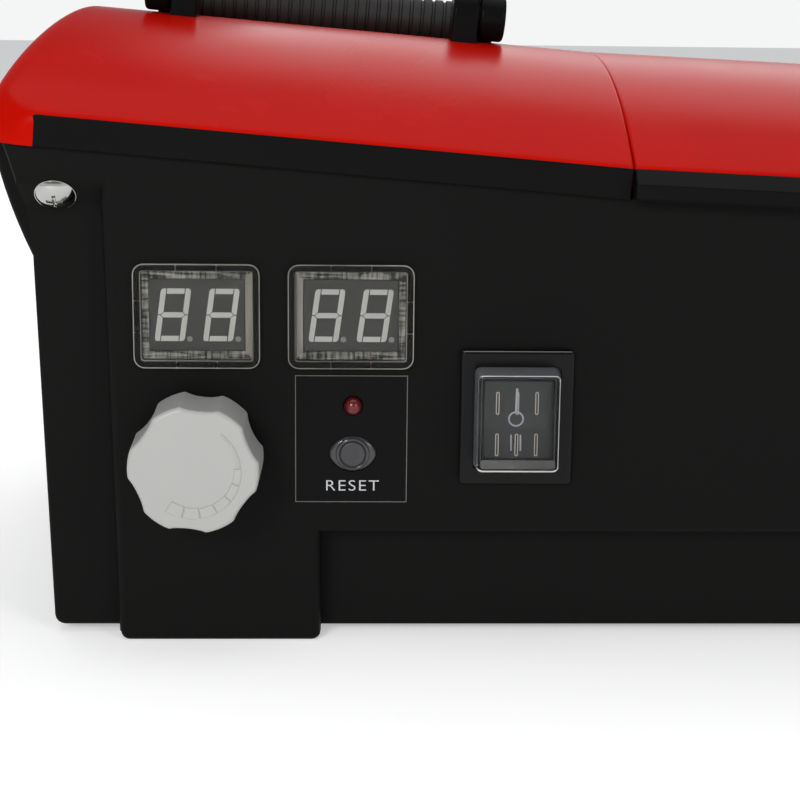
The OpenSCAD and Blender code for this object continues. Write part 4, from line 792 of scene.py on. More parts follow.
# Moulded polycarbonate: clear and glossy, with a faint ripple. Its low IOR keeps
# the thin pane from hiding the module
clear_plastic, tree, surface = plain_material("clear polycarbonate", Roughness=0.02, IOR=1.2,
                                              Base_Color=linear("#f4f5f4"),
                                              Transmission_Weight=1.0)
place = add_node(tree, "ShaderNodeTexCoord").outputs["Object"]
ripple = add_node(tree, "ShaderNodeTexNoise", {"Vector": place, "Scale": 1 / (2.5 * MM)})
bump = add_node(tree, "ShaderNodeBump", {"Height": ripple.outputs[0], "Distance": 0.02 * MM})
feed(surface, {"Normal": bump.outputs[0]})

# The walls of the window's well scatter light: three in streaks, and one evenly
frosted_and_rib_gleam = moulded("light-scattering polycarbonate", "#aaa499", 0.35, grain=1.5, depth=0.01,
                  mottle=0.15, Transmission_Weight=0.2, IOR=1.3)
# Painted highlights: the pane's edges and tab lines are coloured pale, patchily, where they catch
# the light
painted_glint = moulded("painted glint on polycarbonate", "#99958d", 0.2, grain=2.5, depth=0.02, mottle=0.6,
                   Transmission_Weight=0.2, IOR=1.4)
# Crossed streaks, pale and near-black, colour these walls, each about 1 mm wide and 9 mm long
streaked, tree, surface = plain_material("streaked polycarbonate", Roughness=0.3, IOR=1.3,
                                         Transmission_Weight=0.3)
place = add_node(tree, "ShaderNodeTexCoord").outputs["Object"]
streak_heights = []
for scale in ((0.15, 1, 1.4), (1.4, 1, 0.15)):
    stretch = add_node(tree, "ShaderNodeMapping", {"Vector": place, "Scale": scale})
    streaks = add_node(tree, "ShaderNodeTexNoise",
                       {"Vector": stretch.outputs[0], "Scale": 1 / (1.3 * MM), "Detail": 3.0,
                        "Distortion": 0.6})
    streak_heights.append(streaks.outputs[0])
both = add_node(tree, "ShaderNodeMath", enumerate(streak_heights), operation="MULTIPLY")
ramp = add_node(tree, "ShaderNodeValToRGB", {"Fac": both.outputs[0]},
                ((0.18, "#1f1e1c"), (0.36, "#c6c2ba")))
bump = add_node(tree, "ShaderNodeBump", {"Height": both.outputs[0], "Distance": 0.2 * MM})
feed(surface, {"Base Color": ramp.outputs[0], "Normal": bump.outputs[0]})

# The module's cast resin: dark grey, almost matt
module_grey = moulded("dark grey filled resin", "#2d2b2a", 0.5, grain=0.2, depth=0.002)
# Unlit segments: a milky resin that stays pale
segment_pale = moulded("translucent segment resin", "#c2c0bb", 0.45, grain=0.3, depth=0.002)
# The unlit points are dimmer than the segments
dot_grey = moulded("dim dot resin", "#86847f", 0.5, grain=0.3, depth=0.002)

# Half a digit's segments, before its slant: the others mirror these
digit_half_w = 3.95
digit_half_h = 7
stroke = 1.4
gap = 0.13
upright_segment = [(-digit_half_w, gap), (-digit_half_w, digit_half_h - 0.8),
                   (-digit_half_w + 0.3, digit_half_h - 0.15),
                   (-digit_half_w + 0.8, digit_half_h), (-digit_half_w + stroke, digit_half_h),
                   (-digit_half_w + stroke, stroke / 2 + gap), (-digit_half_w + stroke / 2, gap)]
flat_half_w = digit_half_w - stroke - 2 * gap
flat_segment = rectangle(-flat_half_w, flat_half_w, digit_half_h - stroke, digit_half_h)
point_x = digit_half_w - stroke / 2 - gap
bend_x = digit_half_w - stroke - gap
middle_segment = [(-point_x, 0), (-bend_x, stroke / 2), (bend_x, stroke / 2), (point_x, 0),
                  (bend_x, -stroke / 2), (-bend_x, -stroke / 2)]
segments = [middle_segment]
for v in (1, -1):
    segments.append([(x, v * z) for x, z in flat_segment])
    segments += [[(u * x, v * z) for x, z in upright_segment] for u in (1, -1)]
slant = math.tan(math.radians(8))


def merged(name, shapes, *materials):
    """Several closed shapes as one object."""
    points, faces = [], []
    for some_points, some_faces in shapes:
        faces += [[k + len(points) for k in face] for face in some_faces]
        points += some_points
    return solid(name, (points, faces), *materials)


def ribbon(pair, axis, start, end):
    """Points and faces of a closed band between two outlines of equal length."""
    outer, inner = pair
    n = len(outer)
    points = [AXIS_ORDER[axis](u, v, along)
              for along, ring in ((start, outer), (end, outer), (end, inner), (start, inner))
              for u, v in ring]
    faces = [[r * n + k, r * n + (k + 1) % n, (r + 1) % 4 * n + (k + 1) % n, (r + 1) % 4 * n + k]
             for r in range(4) for k in range(n)]
    return points, faces


# Half-sizes of the window's flange, sunk sight and well, of the well's foot and the module
flange_half = (16.65, 13.95)
sight_half = (14.75, 12.05)
well_half = (14.35, 11.65)
foot_half = (12.65, 9.65)
module_half = (12.5, 9.5)
for side, x0 in meter_xs.items():
    rim = filleted(centred(*flange_half, x0, meter_z), 3, 6)
    window = block(f"meter_window_{side}_pane", "y", rim, 1.0, -1.8, 0, 0.45)
    sight = block("sight", "y", filleted(centred(*sight_half, x0, meter_z), 0.8),
                  -0.8, -2.5, 0.3, 0)
    shoulder = [block("shoulder", "y", rectangle(x0 + u0, x0 + u1, meter_z + v0, meter_z + v1),
                      0.02, 2)
                for u0, u1, v0, v1 in ((-17, -14.4, -15, 15), (14.4, 17, -15, 15),
                                       (-17, 17, -15, -11.7), (-17, 17, 11.7, 15))]
    window = worked(window, cut=[sight] + shoulder)
    settle(coated(window, clear_plastic, 25), "meter_window_" + side)
    outer = centred(*well_half, x0, meter_z)
    inner = centred(*foot_half, x0, meter_z)
    walls = [prism([outer[k], outer[(k + 1) % 4], inner[(k + 1) % 4], inner[k]], "y", 1.05, 9.2)
             for k in range(4)]
    even_wall = walls.pop(1 if side == "left" else 3)
    settle(merged(f"meter_window_{side}_well", walls, streaked), finish="clear_window")
    settle(merged(f"meter_window_{side}_even_wall", [even_wall], frosted_and_rib_gleam), finish="clear_window")
    # Painted highlights: pale lines on the flange's edge, on the sight's edge and on the short
    # lines of its snap-in tabs, where they catch the light
    lines = [rectangle(x0 + x - 0.16, x0 + x + 0.16, meter_z + z, meter_z + z + 2.1)
             for x in (-5.3, 5.3) for z in (-13.9, 11.8)]
    flank = x0 - 16.5 if side == "left" else x0 + 14.6
    lines += [rectangle(flank, flank + 1.9, meter_z + z - 0.14, meter_z + z + 0.14)
              for z in (-4.3, 4.1)]
    tabs = merged(f"meter_window_{side}_tab_lines",
                  [prism(line, "y", -1.7, -1.8) for line in lines]
                  + [ribbon([inset_outline(rim, 0.12), inset_outline(rim, 0.36)], "y", -1.5, -1.79),
                     ribbon([filleted(centred(w, h, x0, meter_z), 0.8)
                             for w, h in (sight_half, (14.55, 11.85))], "y", -0.7, -0.95)],
                  painted_glint)
    settle(shaded(tabs), finish="clear_window")

    module = block(f"meter_module_{side}_body", "y",
                   filleted(centred(*module_half, x0, meter_z), 0.3), 9.2, 1.2, 0, 0.12)
    settle(coated(module, module_grey), "meter_module_" + side)
    shapes, dots = [], []
    for dx in (-6.35, 6.35):
        outlines = [[(x0 + dx + x + z * slant, meter_z + z) for x, z in segment]
                    for segment in segments]
        shapes += [prism(outline, "y", 1.25, 1.17) for outline in outlines]
        spot = (x0 + dx + 4.35, meter_z - 6.4)
        dots.append(prism(arc(spot, 0.75, 0, 360, 24)[:-1], "y", 1.25, 1.17))
    settle(merged(f"meter_{side}_digits", shapes, segment_pale), finish="meter_housing")
    settle(merged(f"meter_{side}_dots", dots, dot_grey), finish="meter_housing")

# ---- Knob ----
# A pale grey moulded knob with six scalloped finger grips and a slight draft. A raised
# scale of widening blocks runs round its face.
knob_r = 16.8
knob_front = -19.5
lobe_turn = 60
first_valley = 24
scallop_r = 9
scallop_away = knob_r - 2.1 + scallop_r
half_valley = math.degrees(math.acos((knob_r ** 2 + scallop_away ** 2 - scallop_r ** 2)
                                     / (2 * knob_r * scallop_away)))
scallop_turn = math.degrees(math.asin(knob_r * math.sin(math.radians(half_valley)) / scallop_r))


def knob_outline(depth, scale):
    """The knob's section where its valleys are this share of their full depth."""
    outline, ridge_radii = [], []
    for k in range(6):
        valley = first_valley + lobe_turn * k
        centre = arc((0, 0), scallop_away, valley, valley + 1, 1)[0]
        dip = arc(centre, scallop_r, valley + 180 + scallop_turn, valley + 180 - scallop_turn, 10)
        lobe = arc((0, 0), knob_r, valley + half_valley, valley + lobe_turn - half_valley, 8)
        outline += dip[:-1] + lobe[:-1]
        ridge_radii += [1.2] + [0] * 9 + [1.2] + [0] * 7
    moved = []
    for x, z in filleted(outline, ridge_radii, 3):
        away = math.hypot(x, z)
        share = scale * (1 - depth * (1 - away / knob_r)) * knob_r / away
        moved.append((knob_x + x * share, knob_z + z * share))
    return moved


knob_loops = []
for along, inset in rounded_levels(-1, knob_front + 0.3, 0.5, 1.3, 6):
    rise = (-1 - along) / (-1 - knob_front)
    scale = 1.03 - 0.02 * rise - inset / knob_r
    knob_loops.append((along, knob_outline(0.75 - 0.15 * rise, scale)))
knob = solid("adjusting_knob", stacked(knob_loops, "y"))
scale_marks = []
scale_turn = 21.5
for k in range(6):
    first = 4 - scale_turn * k - 0.7
    last = first - scale_turn + 1.4
    inner = arc(knob_spot, 10.5 - 0.17 * k, first, last, 6)
    outer = arc(knob_spot, 12.4 + 0.1 * k, last, first, 6)
    scale_marks.append(block("mark", "y", inner + outer, knob_front + 0.8, knob_front, 0, 0.25))
line_inner = arc(knob_spot, 11.7, 53, 5, 14)
line_outer = arc(knob_spot, 12.25, 5, 53, 14)
scale_marks.append(block("line", "y", line_inner + line_outer, knob_front + 0.8, knob_front,
                         0, 0.2))
knob = worked(knob, scale_marks, [drum("recess", "y", knob_spot, 11, -7, 0),
                                  drum("bore", "y", knob_spot, 3, -14, 0)])
# ABS with a fine spark-eroded texture: pale grey with a soft sheen
pale_grey = moulded("pale grey ABS", "#a8a8a5", 0.34, grain=0.25, depth=0.003, mottle=0.02)
settle(coated(knob, pale_grey, 28), "current_knob")

# ---- Label, lamp and reset button ----
# A printed black film with a clean cut edge carries a diffused red lamp and the thermal
# breaker's button, which stands in a lens-shaped collar.
label_x, label_z = reset_x - 0.4, 56.8
label_half_w, label_half_h = 14.95, 17.4
collar_w = 13
collar_h = 9.6


def lens_outline(grow, steps=14):
    """The collar's outline: two arcs that meet in softened points."""
    half_w, half_h = collar_w / 2, collar_h / 2
    lens_r = (half_w ** 2 + half_h ** 2) / (2 * half_h)
    reach = math.degrees(math.asin(half_w / lens_r)) - 7
    top = arc((reset_x, reset_z + half_h - lens_r), lens_r + grow, 90 - reach, 90 + reach, steps)
    low = arc((reset_x, reset_z - half_h + lens_r), lens_r + grow, 270 - reach, 270 + reach, steps)
    return top + low


# Screen-printed polyester film: smooth black with a faint sheen
film = moulded("black printed film", "#0c0c0d", 0.42, grain=3.0, depth=0.004, spread=0.06,
               Specular_IOR_Level=0.07)
# The film's die-cut edge: a pale grey rim, patchy along its length, is a painted highlight where
# the clear edge catches the light
cut_edge_glint = moulded("painted highlight on film's cut edge", "#555553", 0.5, grain=0.6, depth=0.01, mottle=0.35)
label_outline = centred(label_half_w, label_half_h, label_x, label_z)
label = worked(block("panel_label_film", "y", filleted(label_outline, 0.3), 0, -0.3),
               cut=[block("collar_hole", "y", lens_outline(0.25), -1, 1),
                    drum("lamp_hole", "y", lamp_spot, 2.7, -1, 1)])
settle(coated(label, film), "panel_label")
edge = worked(block("panel_label_cut_edge", "y", label_outline, -0.05, -0.31),
              cut=[block("inside", "y", inset_outline(label_outline, 0.24), -1, 1)])
settle(coated(edge, cut_edge_glint), finish="label")

# Screen-printing ink: light grey and flat
print_grey = moulded("grey printing ink", "#b9b9bd", 0.45, grain=0.3, depth=0.002)
legend = bpy.data.curves.new("reset_legend", "FONT")
legend.body = "RESET"
legend.align_x = "CENTER"
legend.space_character = 1.16
legend.offset = -0.008
legend.extrude = 0.01
letters = bpy.data.objects.new("reset_legend", legend)
scene.collection.objects.link(letters)
mesh = as_mesh(letters)
bpy.data.objects.remove(letters)
corners = [v.co.copy() for v in mesh.vertices]
low = Vector([min(c[i] for c in corners) for i in range(3)])
high = Vector([max(c[i] for c in corners) for i in range(3)])
legend_w = 14.1
legend_h = 2.9
legend_z = 42.6
for vertex, corner in zip(mesh.vertices, corners):
    along = (corner.x - low.x) / (high.x - low.x) - 0.5
    rise = (corner.y - low.y) / (high.y - low.y)
    out = (corner.z - low.z) / (high.z - low.z)
    vertex.co = Vector((reset_x + legend_w * along, panel_y - 0.29 - 0.03 * out,
                        legend_z + legend_h * rise)) * MM
mesh.materials.append(print_grey)
letters = bpy.data.objects.new("reset_legend", mesh)
scene.collection.objects.link(letters)
settle(letters, finish="label")

# An unlit lamp of diffused resin: dark red, and darker where its dome slopes away
red_resin, tree, surface = plain_material("diffused red resin", Roughness=0.22,
                                          Transmission_Weight=0.15, IOR=1.5,
                                          Subsurface_Weight=0.3, Subsurface_Scale=0.002)
haze = add_node(tree, "ShaderNodeLayerWeight", {"Blend": 0.35})
ramp = add_node(tree, "ShaderNodeValToRGB", {"Fac": haze.outputs["Facing"]},
                ((0, "#6d1214"), (1, "#1c0c0e")))
feed(surface, {"Base Color": ramp.outputs[0]})
lamp_r = 2.45
lamp_profile = ([(0, 5), (lamp_r, 5)] + arc((0, -0.8), lamp_r, 0, -80, 8)
                + [(0, -0.8 - lamp_r)])
lamp = turned("panel_lamp", "y", lamp_spot, lamp_profile, red_resin, sides=48)
settle(shaded(lamp), "indicator_lamp")

# Nylon from a polished mould: dark grey with small, sharp highlights
collar_grey = moulded("glossy dark grey nylon", "#353537", 0.13, grain=1.2, depth=0.003,
                      spread=0.03, mottle=0.05)
collar = worked(block("reset_collar_lens", "y", lens_outline(0), 0, -0.9, 0, 0.85, steps=6),
                [turned("raised_ring", "y", reset_spot,
                        [(0, -0.2), (4.6, -0.2), (4.55, -0.9), (4.3, -1.25), (4.0, -1.35),
                         (3.7, -1.25), (3.55, -1.0), (0, -1.0)])],
                [drum("hole", "y", reset_spot, 3.48, -2, 1)])
settle(coated(collar, collar_grey), "reset_collar")
# Lightly textured nylon: dark grey and satin
button_grey = moulded("dark grey button nylon", "#303032", 0.4, grain=0.5, depth=0.003)
button_profile = [(0, 6.5), (3.6, 6.5), (3.6, 5.5), (2.9, 5.5), (2.9, 0.2), (3.36, 0.2),
                  (3.36, -1.1), (3.28, -1.33), (3.1, -1.46), (2.85, -1.5), (2.7, -1.46), (0, -1.42)]
button = turned("reset_push_button", "y", reset_spot, button_profile, button_grey, sides=64)
settle(shaded(button), "reset_button")

# ---- Rocker switch ----
# A snap-in three-position rocker in a satin nylon bezel, under a clear weather boot. The
# boot's face has six raised ribs, and the rocker's legends are printed.

# Half-sizes of the bezel, its throat, its body, the boot's seat and the boot's foot
bezel_half = (15.15, 18.3)
throat_half = (9.8, 12.8)
body_half = (13, 16)
seat_half = (11.65, 14.05)
boot_half_w, boot_half_h = 11.4, 13.8
boot_y0, boot_y1 = -1.05, -12
rocker_half_w = 9.2


def on_switch(half_w, half_h, dx=0, dz=0):
    """A rectangle on the switch's face, from its half-sizes and its middle."""
    return centred(half_w, half_h, switch_x + dx, switch_z + dz)


# Finely textured nylon: black with a clear satin sheen
nylon = moulded("satin black nylon", "#0e0e0f", 0.24, grain=0.3, depth=0.002,
                spread=0.03, Specular_IOR_Level=0.15)
bezel = block("switch_bezel_frame", "y", filleted(on_switch(*bezel_half), 1.2), 0, -2.5, 0.4, 1.1,
              steps=5)
throat = block("throat", "y", filleted(on_switch(*throat_half), 0.6), -4, 9)
seat = block("boot_seat", "y", filleted(on_switch(*seat_half), 1.4), -4, -1)
body = block("switch_body", "y", on_switch(*body_half), -0.5, 22, 0, 0.5)
bezel = worked(bezel, [body], [throat, seat])
bezel.data.materials.append(nylon)
# Painted highlight: the bezel's edge faces turned about 45 degrees upwards take the grey gleaming
# edge material
facing_finish_and_highlight(bezel, gloss_and_painted_gleam, lambda n: 0.6 < n.z < 0.8)
settle(shaded(bezel), "switch_bezel")

# Duller dark grey nylon, from its coarser texture
rocker_grey = moulded("dark grey rocker nylon", "#2f2f31", 0.42, grain=0.3, depth=0.003)
rocker_side = [(-6, -11.2), (-4.2, -2.2), (-4.2, 2.2), (-6, 11.2), (-2.5, 11.2), (6, 4), (6, -4),
               (-2.5, -11.2)]
rocker_side = [(y, switch_z + z) for y, z in rocker_side]
rocker = block("rocker_paddle", "x", filleted(rocker_side, [2.2, 6, 6, 0.5, 0.5, 1, 1, 0.5], 5),
               switch_x - rocker_half_w, switch_x + rocker_half_w, 0.5, 0.5)
axle = drum("axle", "x", (1, switch_z), 1.5, switch_x - 11.2, switch_x + 11.2)
rocker = worked(rocker, [axle])
settle(coated(rocker, rocker_grey), "switch_rocker")


def rocker_face(z):
    """The distance of the rocker's face from the panel at a height from its middle."""
    return -4.2 - 1.8 * max(abs(z) - 2.2, 0) / 9


def printed(outline):
    """Points and faces of an ink mark that leans as the rocker's bent face does there."""
    bottom, top = min(z for _, z in outline), max(z for _, z in outline)
    middle = (bottom + top) / 2
    slope = (rocker_face(top) - rocker_face(bottom)) / (top - bottom)
    points, faces = prism([(switch_x + x, switch_z + z) for x, z in outline], "y", 0, -0.04)
    return [(x, y + 0.02 + rocker_face(middle) + slope * (z - switch_z - middle), z)
            for x, y, z in points], faces


# Pad-printing ink: a cool white, thin enough to look greyish
ink = moulded("blue-white printing ink", "#b4b6c4", 0.5, grain=0.3, depth=0.002)
marks = [printed(filleted(rectangle(-0.72, -0.08, 2.4, 8.9), 0.3))]
marks += [printed(filleted(rectangle(x - 0.22, x + 0.22, -8.1, -3.9), 0.15))
          for x in (-1.65, 0.85)]
ring_steps = 36
outer, inner = [arc((switch_x - 0.4, switch_z + 0.3), r, 0, 360, ring_steps)[:-1]
                for r in (2.1, 1.65)]
ring_points = [(x, rocker_face(z - switch_z) - 0.02, z) for x, z in outer + inner]
ring_faces = [[k, (k + 1) % ring_steps, ring_steps + (k + 1) % ring_steps, ring_steps + k]
              for k in range(ring_steps)]
legends = merged("rocker_legends", marks + [(ring_points, ring_faces)], ink)
settle(legends, body="rocker", finish="rocker_dark")

# Dip-moulded soft PVC: clear and wet-looking, with cloudy patches in its gloss
clear_pvc, tree, surface = plain_material("clear soft PVC", Roughness=0.03, IOR=1.22,
                                          Base_Color=linear("#eef0ef"),
                                          Transmission_Weight=1.0)
place = add_node(tree, "ShaderNodeTexCoord").outputs["Object"]
cloud = add_node(tree, "ShaderNodeTexNoise",
                 {"Vector": place, "Scale": 1 / (6 * MM), "Detail": 3.0})
haze = add_node(tree, "ShaderNodeMapRange", {"Value": cloud.outputs[0], "From Min": 0.35,
                                             "From Max": 0.7, "To Min": 0.0, "To Max": 0.05})
feed(surface, {"Roughness": haze.outputs[0]})

# The boot's side walls are seen edge on and look hazy. The milky material is painted light: a
# painted highlight on the slanted edge faces turned up and to the right, and painted light on the
# lower walls, where light from above falls
hazy_pvc = moulded("hazy soft PVC", "#a3a4a8", 0.15, grain=2.0, depth=0.01, mottle=0.2,
                   Transmission_Weight=0.64, IOR=1.35)
painted_light_pvc = moulded("soft PVC with painted light", "#d6d7d4", 0.25, grain=1.5, depth=0.02, mottle=0.35,
                    Transmission_Weight=0.15, IOR=1.35)


def boot_solid(name, wall_t, y0, y1, edge):
    """The boot's form: its sides lean in from the seat to the face, the lower one most."""
    loops = []
    for along, inset in rounded_levels(y0, y1, 0, edge, 5):
        rise = (y0 - along) / (y0 - y1)
        lean = inset + wall_t + 0.65 * rise
        outline = on_switch(boot_half_w - lean, boot_half_h - lean - 0.2 * rise,
                            -0.4 * rise, 0.6 * rise)
        loops.append((along, filleted(outline, 1.9 - 0.6 * lean, 6)))
    return solid(name, stacked(loops, "y"))


boot = worked(boot_solid("switch_boot_skin", 0, boot_y0, boot_y1, 0.7),
              cut=[boot_solid("room", 1, -0.9, boot_y1 + 1, 0.6)])
boot.data.materials.append(clear_pvc)
facing_finish_and_highlight(boot, hazy_pvc, lambda n: abs(n.y) < 0.6)
facing_finish_and_highlight(boot, painted_light_pvc, lambda n: n.y < -0.4 and 0.55 < max(n.x, n.z) < 0.85)
# Painted light: the lower walls take the milky material too
painted_light_slot = boot.data.materials.find(painted_light_pvc.name)
for face in boot.data.polygons:
    if abs(face.normal.z) > 0.3 and face.center.z < (switch_z - 10) * MM:
        face.material_index = painted_light_slot
settle(shaded(boot), "switch_boot")
band = block("boot_lower_band", "y", filleted(on_switch(9.8, 1.2, -0.4, -10.2), 0.6, 4),
             boot_y1 - 0.06, boot_y1 + 0.04)
# Painted light: a thin grey band on the boot's face, patchily lighter and darker, paints the lit
# lower wall that shows through the face
lower_wall_light_paint = moulded("painted light band on soft PVC", "#6a6b69", 0.2, grain=1.6, depth=0.01, mottle=0.7,
                    Transmission_Weight=0.5, IOR=1.35)
settle(coated(band, lower_wall_light_paint), finish="clear_boot")
# Each rib is a low ring along the edge of a stadium. Its pale material paints the highlight along
# the rib's edges
ribs = []
for dx in (-5.1, 0, 5.1):
    for dz in (5.55, -5.55):
        outline = filleted(on_switch(0.45, 3.0, dx - 0.9, dz + 0.7), 0.4, 4)
        ribs.append(ribbon([outline, inset_outline(outline, 0.22)], "y",
                           boot_y1 + 0.04, boot_y1 - 0.18))
settle(shaded(merged("switch_boot_ribs", ribs, frosted_and_rib_gleam)), finish="clear_boot")

# ---- Meter board ----
# The two modules are soldered to one narrow board, which two small pan-head screws hold to
# the bosses behind the panel. Pins and screws come from one tree that lays out rows.


def new_tree(name, *inputs):
    """A Geometry Nodes tree with its named inputs, its first and its last node."""
    tree = bpy.data.node_groups.new(name, "GeometryNodeTree")
    tree.interface.new_socket("Geometry", in_out="INPUT", socket_type="NodeSocketGeometry")
    tree.interface.new_socket("Geometry", in_out="OUTPUT", socket_type="NodeSocketGeometry")
    for label, kind in inputs:
        tree.interface.new_socket(label, in_out="INPUT", socket_type="NodeSocket" + kind)
    return tree, add_node(tree, "NodeGroupInput").outputs, add_node(tree, "NodeGroupOutput")


def finish_tree(tree, made, given, last):
    """Ends a tree with real geometry and its material."""
    real = add_node(tree, "GeometryNodeRealizeInstances", {"Geometry": made})
    painted = add_node(tree, "GeometryNodeSetMaterial",
                       {"Geometry": real.outputs[0], "Material": given["Material"]})
    tree.links.new(painted.outputs[0], last.inputs[0])


def grown(obj, tree, **sizes):
    """Runs a tree on the object with these inputs, and keeps the result as a plain mesh."""
    step = obj.modifiers.new(tree.name, "NODES")
    step.node_group = tree
    for item in tree.interface.items_tree:
        name = item.name.replace(" ", "_").lower()
        if item.in_out == "INPUT" and name in sizes:
            step[item.identifier] = sizes[name]
    mesh = as_mesh(obj)
    mesh.name = obj.name
    obj.modifiers.clear()
    obj.data = mesh
    return obj


# Columns and rows of a piece, each a fixed step from the last
row_tree, given, last = new_tree("rows of a piece", ("Columns", "Int"), ("Column step", "Vector"),
                                 ("Rows", "Int"), ("Row step", "Vector"), ("Material", "Material"))
line = add_node(row_tree, "GeometryNodeMeshLine",
                {"Count": given["Columns"], "Offset": given["Column step"]})
lines = add_node(row_tree, "GeometryNodeMeshLine",
                 {"Count": given["Rows"], "Offset": given["Row step"]})
laid = add_node(row_tree, "GeometryNodeInstanceOnPoints",
                {"Points": lines.outputs[0], "Instance": line.outputs[0]})
flat = add_node(row_tree, "GeometryNodeRealizeInstances", {"Geometry": laid.outputs[0]})
placed = add_node(row_tree, "GeometryNodeInstanceOnPoints",
                  {"Points": flat.outputs[0], "Instance": given["Geometry"]})
finish_tree(row_tree, placed.outputs[0], given, last)


def in_rows(obj, material, columns=1, column_step=(0, 0, 0), rows=1, row_step=(0, 0, 0)):
    """The piece repeated in columns and rows, by steps in mm."""
    return grown(obj, row_tree, columns=columns, column_step=[c * MM for c in column_step],
                 rows=rows, row_step=[c * MM for c in row_step], material=material)


# Zinc plating on small steel hardware: cool grey with an uneven gleam
steel = moulded("zinc-plated steel", "#a9abad", 0.34, grain=0.25, depth=0.002, spread=0.08,
                Metallic=1.0)
# Tin-plated copper pins and lugs: a warm, bright grey
tin = moulded("tinned copper", "#c3c2bb", 0.3, grain=0.2, depth=0.002, Metallic=1.0)
# Solder mask over glass-fibre laminate: glossy green, its tracks just showing
solder_mask, tree, surface = plain_material("green solder mask on FR-4", Roughness=0.35,
                                            Coat_Weight=0.3)
place = add_node(tree, "ShaderNodeTexCoord").outputs["Object"]
# Copper tracks under the mask, about 1 mm wide and 5 mm apart
tracks = add_node(tree, "ShaderNodeTexVoronoi", {"Vector": place, "Scale": 1 / (6 * MM)},
                  feature="DISTANCE_TO_EDGE")
ramp = add_node(tree, "ShaderNodeValToRGB", {"Fac": tracks.outputs[0]},
                ((0.08, "#2f7a45"), (0.12, "#12502a")))
bump = add_node(tree, "ShaderNodeBump", {"Height": tracks.outputs[0], "Distance": 0.03 * MM})
feed(surface, {"Base Color": ramp.outputs[0], "Normal": bump.outputs[0]})

pan_head = [(0, 0), (1.2, 0), (1.2, 5.6), (2.4, 5.6), (2.4, 6.2), (2.1, 6.75), (1.5, 7.05),
            (0.9, 7.15), (0.8, 6.6), (0, 6.6)]


def pan_screw(name, axis, place, tip, way, head=pan_head):
    """A small screw with a recessed pan head, from its tip along an axis."""
    return turned(name, axis, place, [(r, tip + way * along) for r, along in head], steel, sides=24)


meter_board_y0, meter_board_y1 = 11, 12.6
for side, x0 in meter_xs.items():
    pin = drum(f"meter_module_{side}_pins", "y", (x0 - 5.08, meter_z - 7.5), 0.3, 9.1, 12.9,
               sides=8)
    settle(shaded(in_rows(pin, tin, 5, (2.54, 0, 0), 2, (0, 0, 15))), finish="pin_steel")
small_board = worked(block("meter_board_laminate", "y",
                           filleted(centred(35.95, 12.75, meter_mid_x, meter_z), 0.8),
                           meter_board_y0, meter_board_y1),
                     cut=[drum("hole", "y", (meter_mid_x, meter_z + dz), 1.3, 10, 14, sides=24)
                          for dz in (-7.5, 7.5)])
settle(coated(small_board, solder_mask), "meter_board")
screws = in_rows(pan_screw("meter_board_pan_screws", "y", (meter_mid_x, meter_z - 7.5), 7.0, 1),
                 steel, rows=2, row_step=(0, 0, 15))
settle(shaded(screws), "meter_board_screws")

# ---- Potentiometer ----
# A 24 mm carbon potentiometer with a threaded bush: the shaft carries the knob, and a thin
# nut clamps it to the panel. Its three tags hang below the can.
can = turned("potentiometer_can", "y", knob_spot,
             [(3.05, 4.8), (0, 4.9), (0, 13.6), (10.9, 13.6), (11.7, 13.2), (12, 12.5), (12, 5.2),
              (11.6, 4.4), (11.6, 2.6), (4.7, 2.6)]
             + [((4.35, 4.7)[k % 2], 2.2 - 0.55 * k) for k in range(13)]
             + [(4.2, -5), (3.05, -5)], sides=64)
tags = [block("tag", "y", filleted(rectangle(x - 1.4, x + 1.4, 32.9, 44), 0.6), 5.6, 6.8)
        for x in (knob_x - 5, knob_x, knob_x + 5)]
web = block("web", "y", filleted(rectangle(knob_x - 7, knob_x + 7, 36.5, 46), 0.8), 5.6, 6.8)
can = worked(can, tags + [web])
# Plated pressed steel: a dull mid grey
grey_can = moulded("cadmium-grey pressed steel can", "#7d7e7c", 0.4, grain=0.5, depth=0.003,
                   Metallic=0.9)
settle(coated(can, grey_can), "potentiometer_body")
shaft = turned("potentiometer_steel_shaft", "y", knob_spot,
               [(0, 4.6), (3, 4.6), (3, -13.4), (2.5, -14), (0, -14)], steel, sides=40)
settle(shaded(shaft), "potentiometer_shaft")
hexagon = arc(knob_spot, 12 / math.sqrt(3), 0, 360, 6)[:-1]
pot_nut = worked(block("potentiometer_hex_nut", "y", hexagon, 0, -2.4, 0, 0.3),
                 cut=[drum("bore", "y", knob_spot, 4.7, -4, 2)])
settle(coated(pot_nut, steel), "potentiometer_nut")

# ---- Thermal breaker ----
# The reset button's breaker: a phenolic case with a neck through the panel and two brass
# blades behind it.

# Compression-moulded phenolic: brownish black with a low sheen
phenolic = moulded("black phenolic moulding", "#161514", 0.45, grain=0.5, depth=0.004)
# Stamped brass: yellow and fairly bright
brass = moulded("stamped brass", "#c8a253", 0.3, grain=0.4, depth=0.002, Metallic=1.0)
case = worked(block("breaker_case", "y", filleted(rectangle(reset_x - 7, reset_x + 7, 36, 61), 0.8),
                    6, 36, 0.5, 0.5),
              [drum("neck", "y", reset_spot, 4.5, 0, 6.5)],
              [drum("bore", "y", reset_spot, 3.65, 2.2, 6.8),
               drum("mouth", "y", reset_spot, 3.0, -1, 6)])
settle(coated(case, phenolic), "breaker_body")


